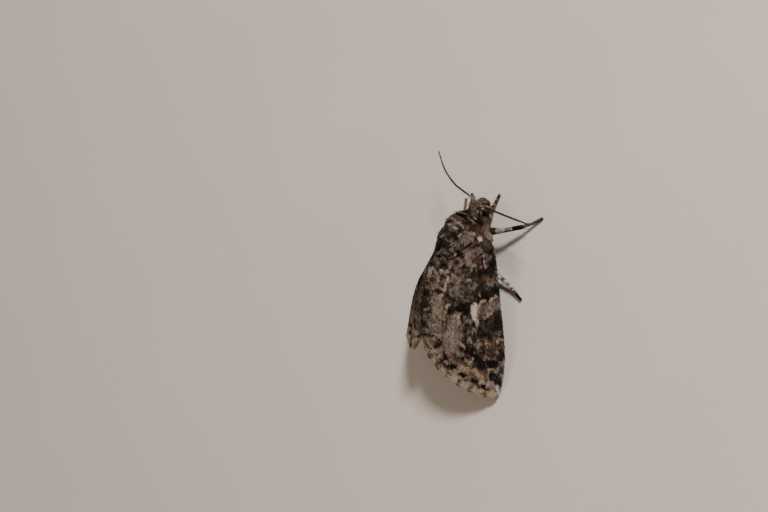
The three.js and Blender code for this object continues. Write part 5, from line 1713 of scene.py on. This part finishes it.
# ---------- stage
def build_floor(colours):
    line = np.linspace(-FLOOR_HALF, FLOOR_HALF, FLOOR_STEPS) / MM
    x, y = np.meshgrid(line, line, indexing="ij")
    i, j = np.meshgrid(np.arange(FLOOR_STEPS - 1), np.arange(FLOOR_STEPS - 1), indexing="ij")
    a = (i * FLOOR_STEPS + j).ravel()
    b = a + FLOOR_STEPS
    pile = Pile()
    pile.add(np.stack([x, y, 0 * x], -1), [np.stack([a, b, b + 1, a + 1], -1)])
    pile.write("floor", floor_finish("floor", colours), smooth_faces=True)


def add_light(name, direction, distance, size, watts, colour):
    middle = Vector(to_frame(LIT_PLACE))
    toward = Vector(direction).normalized()
    data = bpy.data.lights.new(name, "AREA")
    data.size = size
    data.energy = watts
    data.color = colour
    light = bpy.data.objects.new(name, data)
    light.location = middle + toward * distance
    light.rotation_mode = "QUATERNION"
    light.rotation_quaternion = toward.to_track_quat("Z", "Y")
    bpy.context.scene.collection.objects.link(light)


def add_camera():
    turn, dip = math.radians(CAMERA_TURN), math.radians(CAMERA_DIP)
    up = Vector((-math.sin(turn), math.cos(turn), 0))
    back = Vector((math.sin(dip) * math.cos(turn), math.sin(dip) * math.sin(turn), math.cos(dip)))
    data = bpy.data.cameras.new("camera")
    data.lens = LENS
    data.sensor_width = SENSOR
    data.clip_start, data.clip_end = CLIP
    camera = bpy.data.objects.new("camera", data)
    pose = Matrix((up.cross(back), up, back)).transposed().to_4x4()
    camera.matrix_world = Matrix.Translation(Vector(to_frame(CAMERA_PLACE))) @ pose
    bpy.context.scene.collection.objects.link(camera)
    bpy.context.scene.camera = camera


def add_sky():
    world = bpy.data.worlds.new("studio")
    world.use_nodes = True
    background = world.node_tree.nodes["Background"]
    background.inputs["Color"].default_value = SKY_COLOUR
    background.inputs["Strength"].default_value = SKY_STRENGTH
    bpy.context.scene.world = world


def build_stage(_, colours):
    build_floor(colours)
    add_sky()
    for name, light in LIGHTS.items():
        add_light(name, *light)
    add_camera()


# ---------- operators and panel
class MothOperator:
    """What the operators share: each calls its own `build` with the sizes and the colours."""
    bl_options = {"REGISTER", "UNDO"}

    def execute(self, context):
        type(self).build(context.scene.moth_sizes, context.scene.moth_colours)
        return {"FINISHED"}


class MOTH_OT_stage(MothOperator, bpy.types.Operator):
    """Adds the floor, the soft lights and the camera"""
    bl_idname = "moth.stage"
    bl_label = "Stage"
    build = staticmethod(build_stage)


class MOTH_OT_body_skin(MothOperator, bpy.types.Operator):
    """Lofts one skin over head, thorax and abdomen"""
    bl_idname = "moth.body_skin"
    bl_label = "Body Skin"
    build = staticmethod(build_body_skin)


class MOTH_OT_body_scales(MothOperator, bpy.types.Operator):
    """Covers head, thorax and abdomen with scales"""
    bl_idname = "moth.body_scales"
    bl_label = "Body Scales"
    build = staticmethod(build_body_scales)


class MOTH_OT_eyes(MothOperator, bpy.types.Operator):
    """Adds the two faceted eyes"""
    bl_idname = "moth.eyes"
    bl_label = "Eyes"
    build = staticmethod(build_eyes)


class MOTH_OT_palps(MothOperator, bpy.types.Operator):
    """Adds the scaled palps and the coiled tongue"""
    bl_idname = "moth.palps"
    bl_label = "Palps and Tongue"
    build = staticmethod(build_palps)


class MOTH_OT_antennae(MothOperator, bpy.types.Operator):
    """Adds the two ringed antennae"""
    bl_idname = "moth.antennae"
    bl_label = "Antennae"
    build = staticmethod(build_antennae)


class MOTH_OT_forewings(MothOperator, bpy.types.Operator):
    """Adds the veined membranes of the forewings"""
    bl_idname = "moth.forewings"
    bl_label = "Forewings"
    build = staticmethod(build_forewings)


class MOTH_OT_forewing_scales(MothOperator, bpy.types.Operator):
    """Shingles the forewings with scales and adds their fringes"""
    bl_idname = "moth.forewing_scales"
    bl_label = "Forewing Scales"
    build = staticmethod(build_forewing_scales)


class MOTH_OT_hindwings(MothOperator, bpy.types.Operator):
    """Adds the folded hindwings with their scales"""
    bl_idname = "moth.hindwings"
    bl_label = "Hindwings"
    build = staticmethod(build_hindwings)


class MOTH_OT_legs(MothOperator, bpy.types.Operator):
    """Adds the six legs with their scales, spurs and claws"""
    bl_idname = "moth.legs"
    bl_label = "Legs"
    build = staticmethod(build_legs)


OPERATORS = (MOTH_OT_stage, MOTH_OT_body_skin, MOTH_OT_body_scales, MOTH_OT_eyes, MOTH_OT_palps,
             MOTH_OT_antennae, MOTH_OT_forewings, MOTH_OT_forewing_scales, MOTH_OT_hindwings, MOTH_OT_legs)


class MOTH_PT_pieces(bpy.types.Panel):
    """Lists the settings and the pieces of the moth"""
    bl_idname = "MOTH_PT_pieces"
    bl_label = "Owlet Moth"
    bl_space_type = "VIEW_3D"
    bl_region_type = "UI"
    bl_category = "Moth"

    def draw(self, context):
        for settings in (context.scene.moth_sizes, context.scene.moth_colours):
            column = self.layout.column(align=True)
            for name in type(settings).__annotations__:
                column.prop(settings, name)
        for operator in OPERATORS:
            self.layout.operator(operator.bl_idname)


CLASSES = (MothSizes, MothColours, *OPERATORS, MOTH_PT_pieces)


def register():
    for cls in CLASSES:
        bpy.utils.register_class(cls)
    bpy.types.Scene.moth_sizes = PointerProperty(type=MothSizes)
    bpy.types.Scene.moth_colours = PointerProperty(type=MothColours)


def unregister():
    del bpy.types.Scene.moth_colours
    del bpy.types.Scene.moth_sizes
    for cls in reversed(CLASSES):
        bpy.utils.unregister_class(cls)


def main():
    register()
    for operator in OPERATORS:
        family, name = operator.bl_idname.split(".")
        getattr(getattr(bpy.ops, family), name)()


if __name__ == "__main__":
    main()
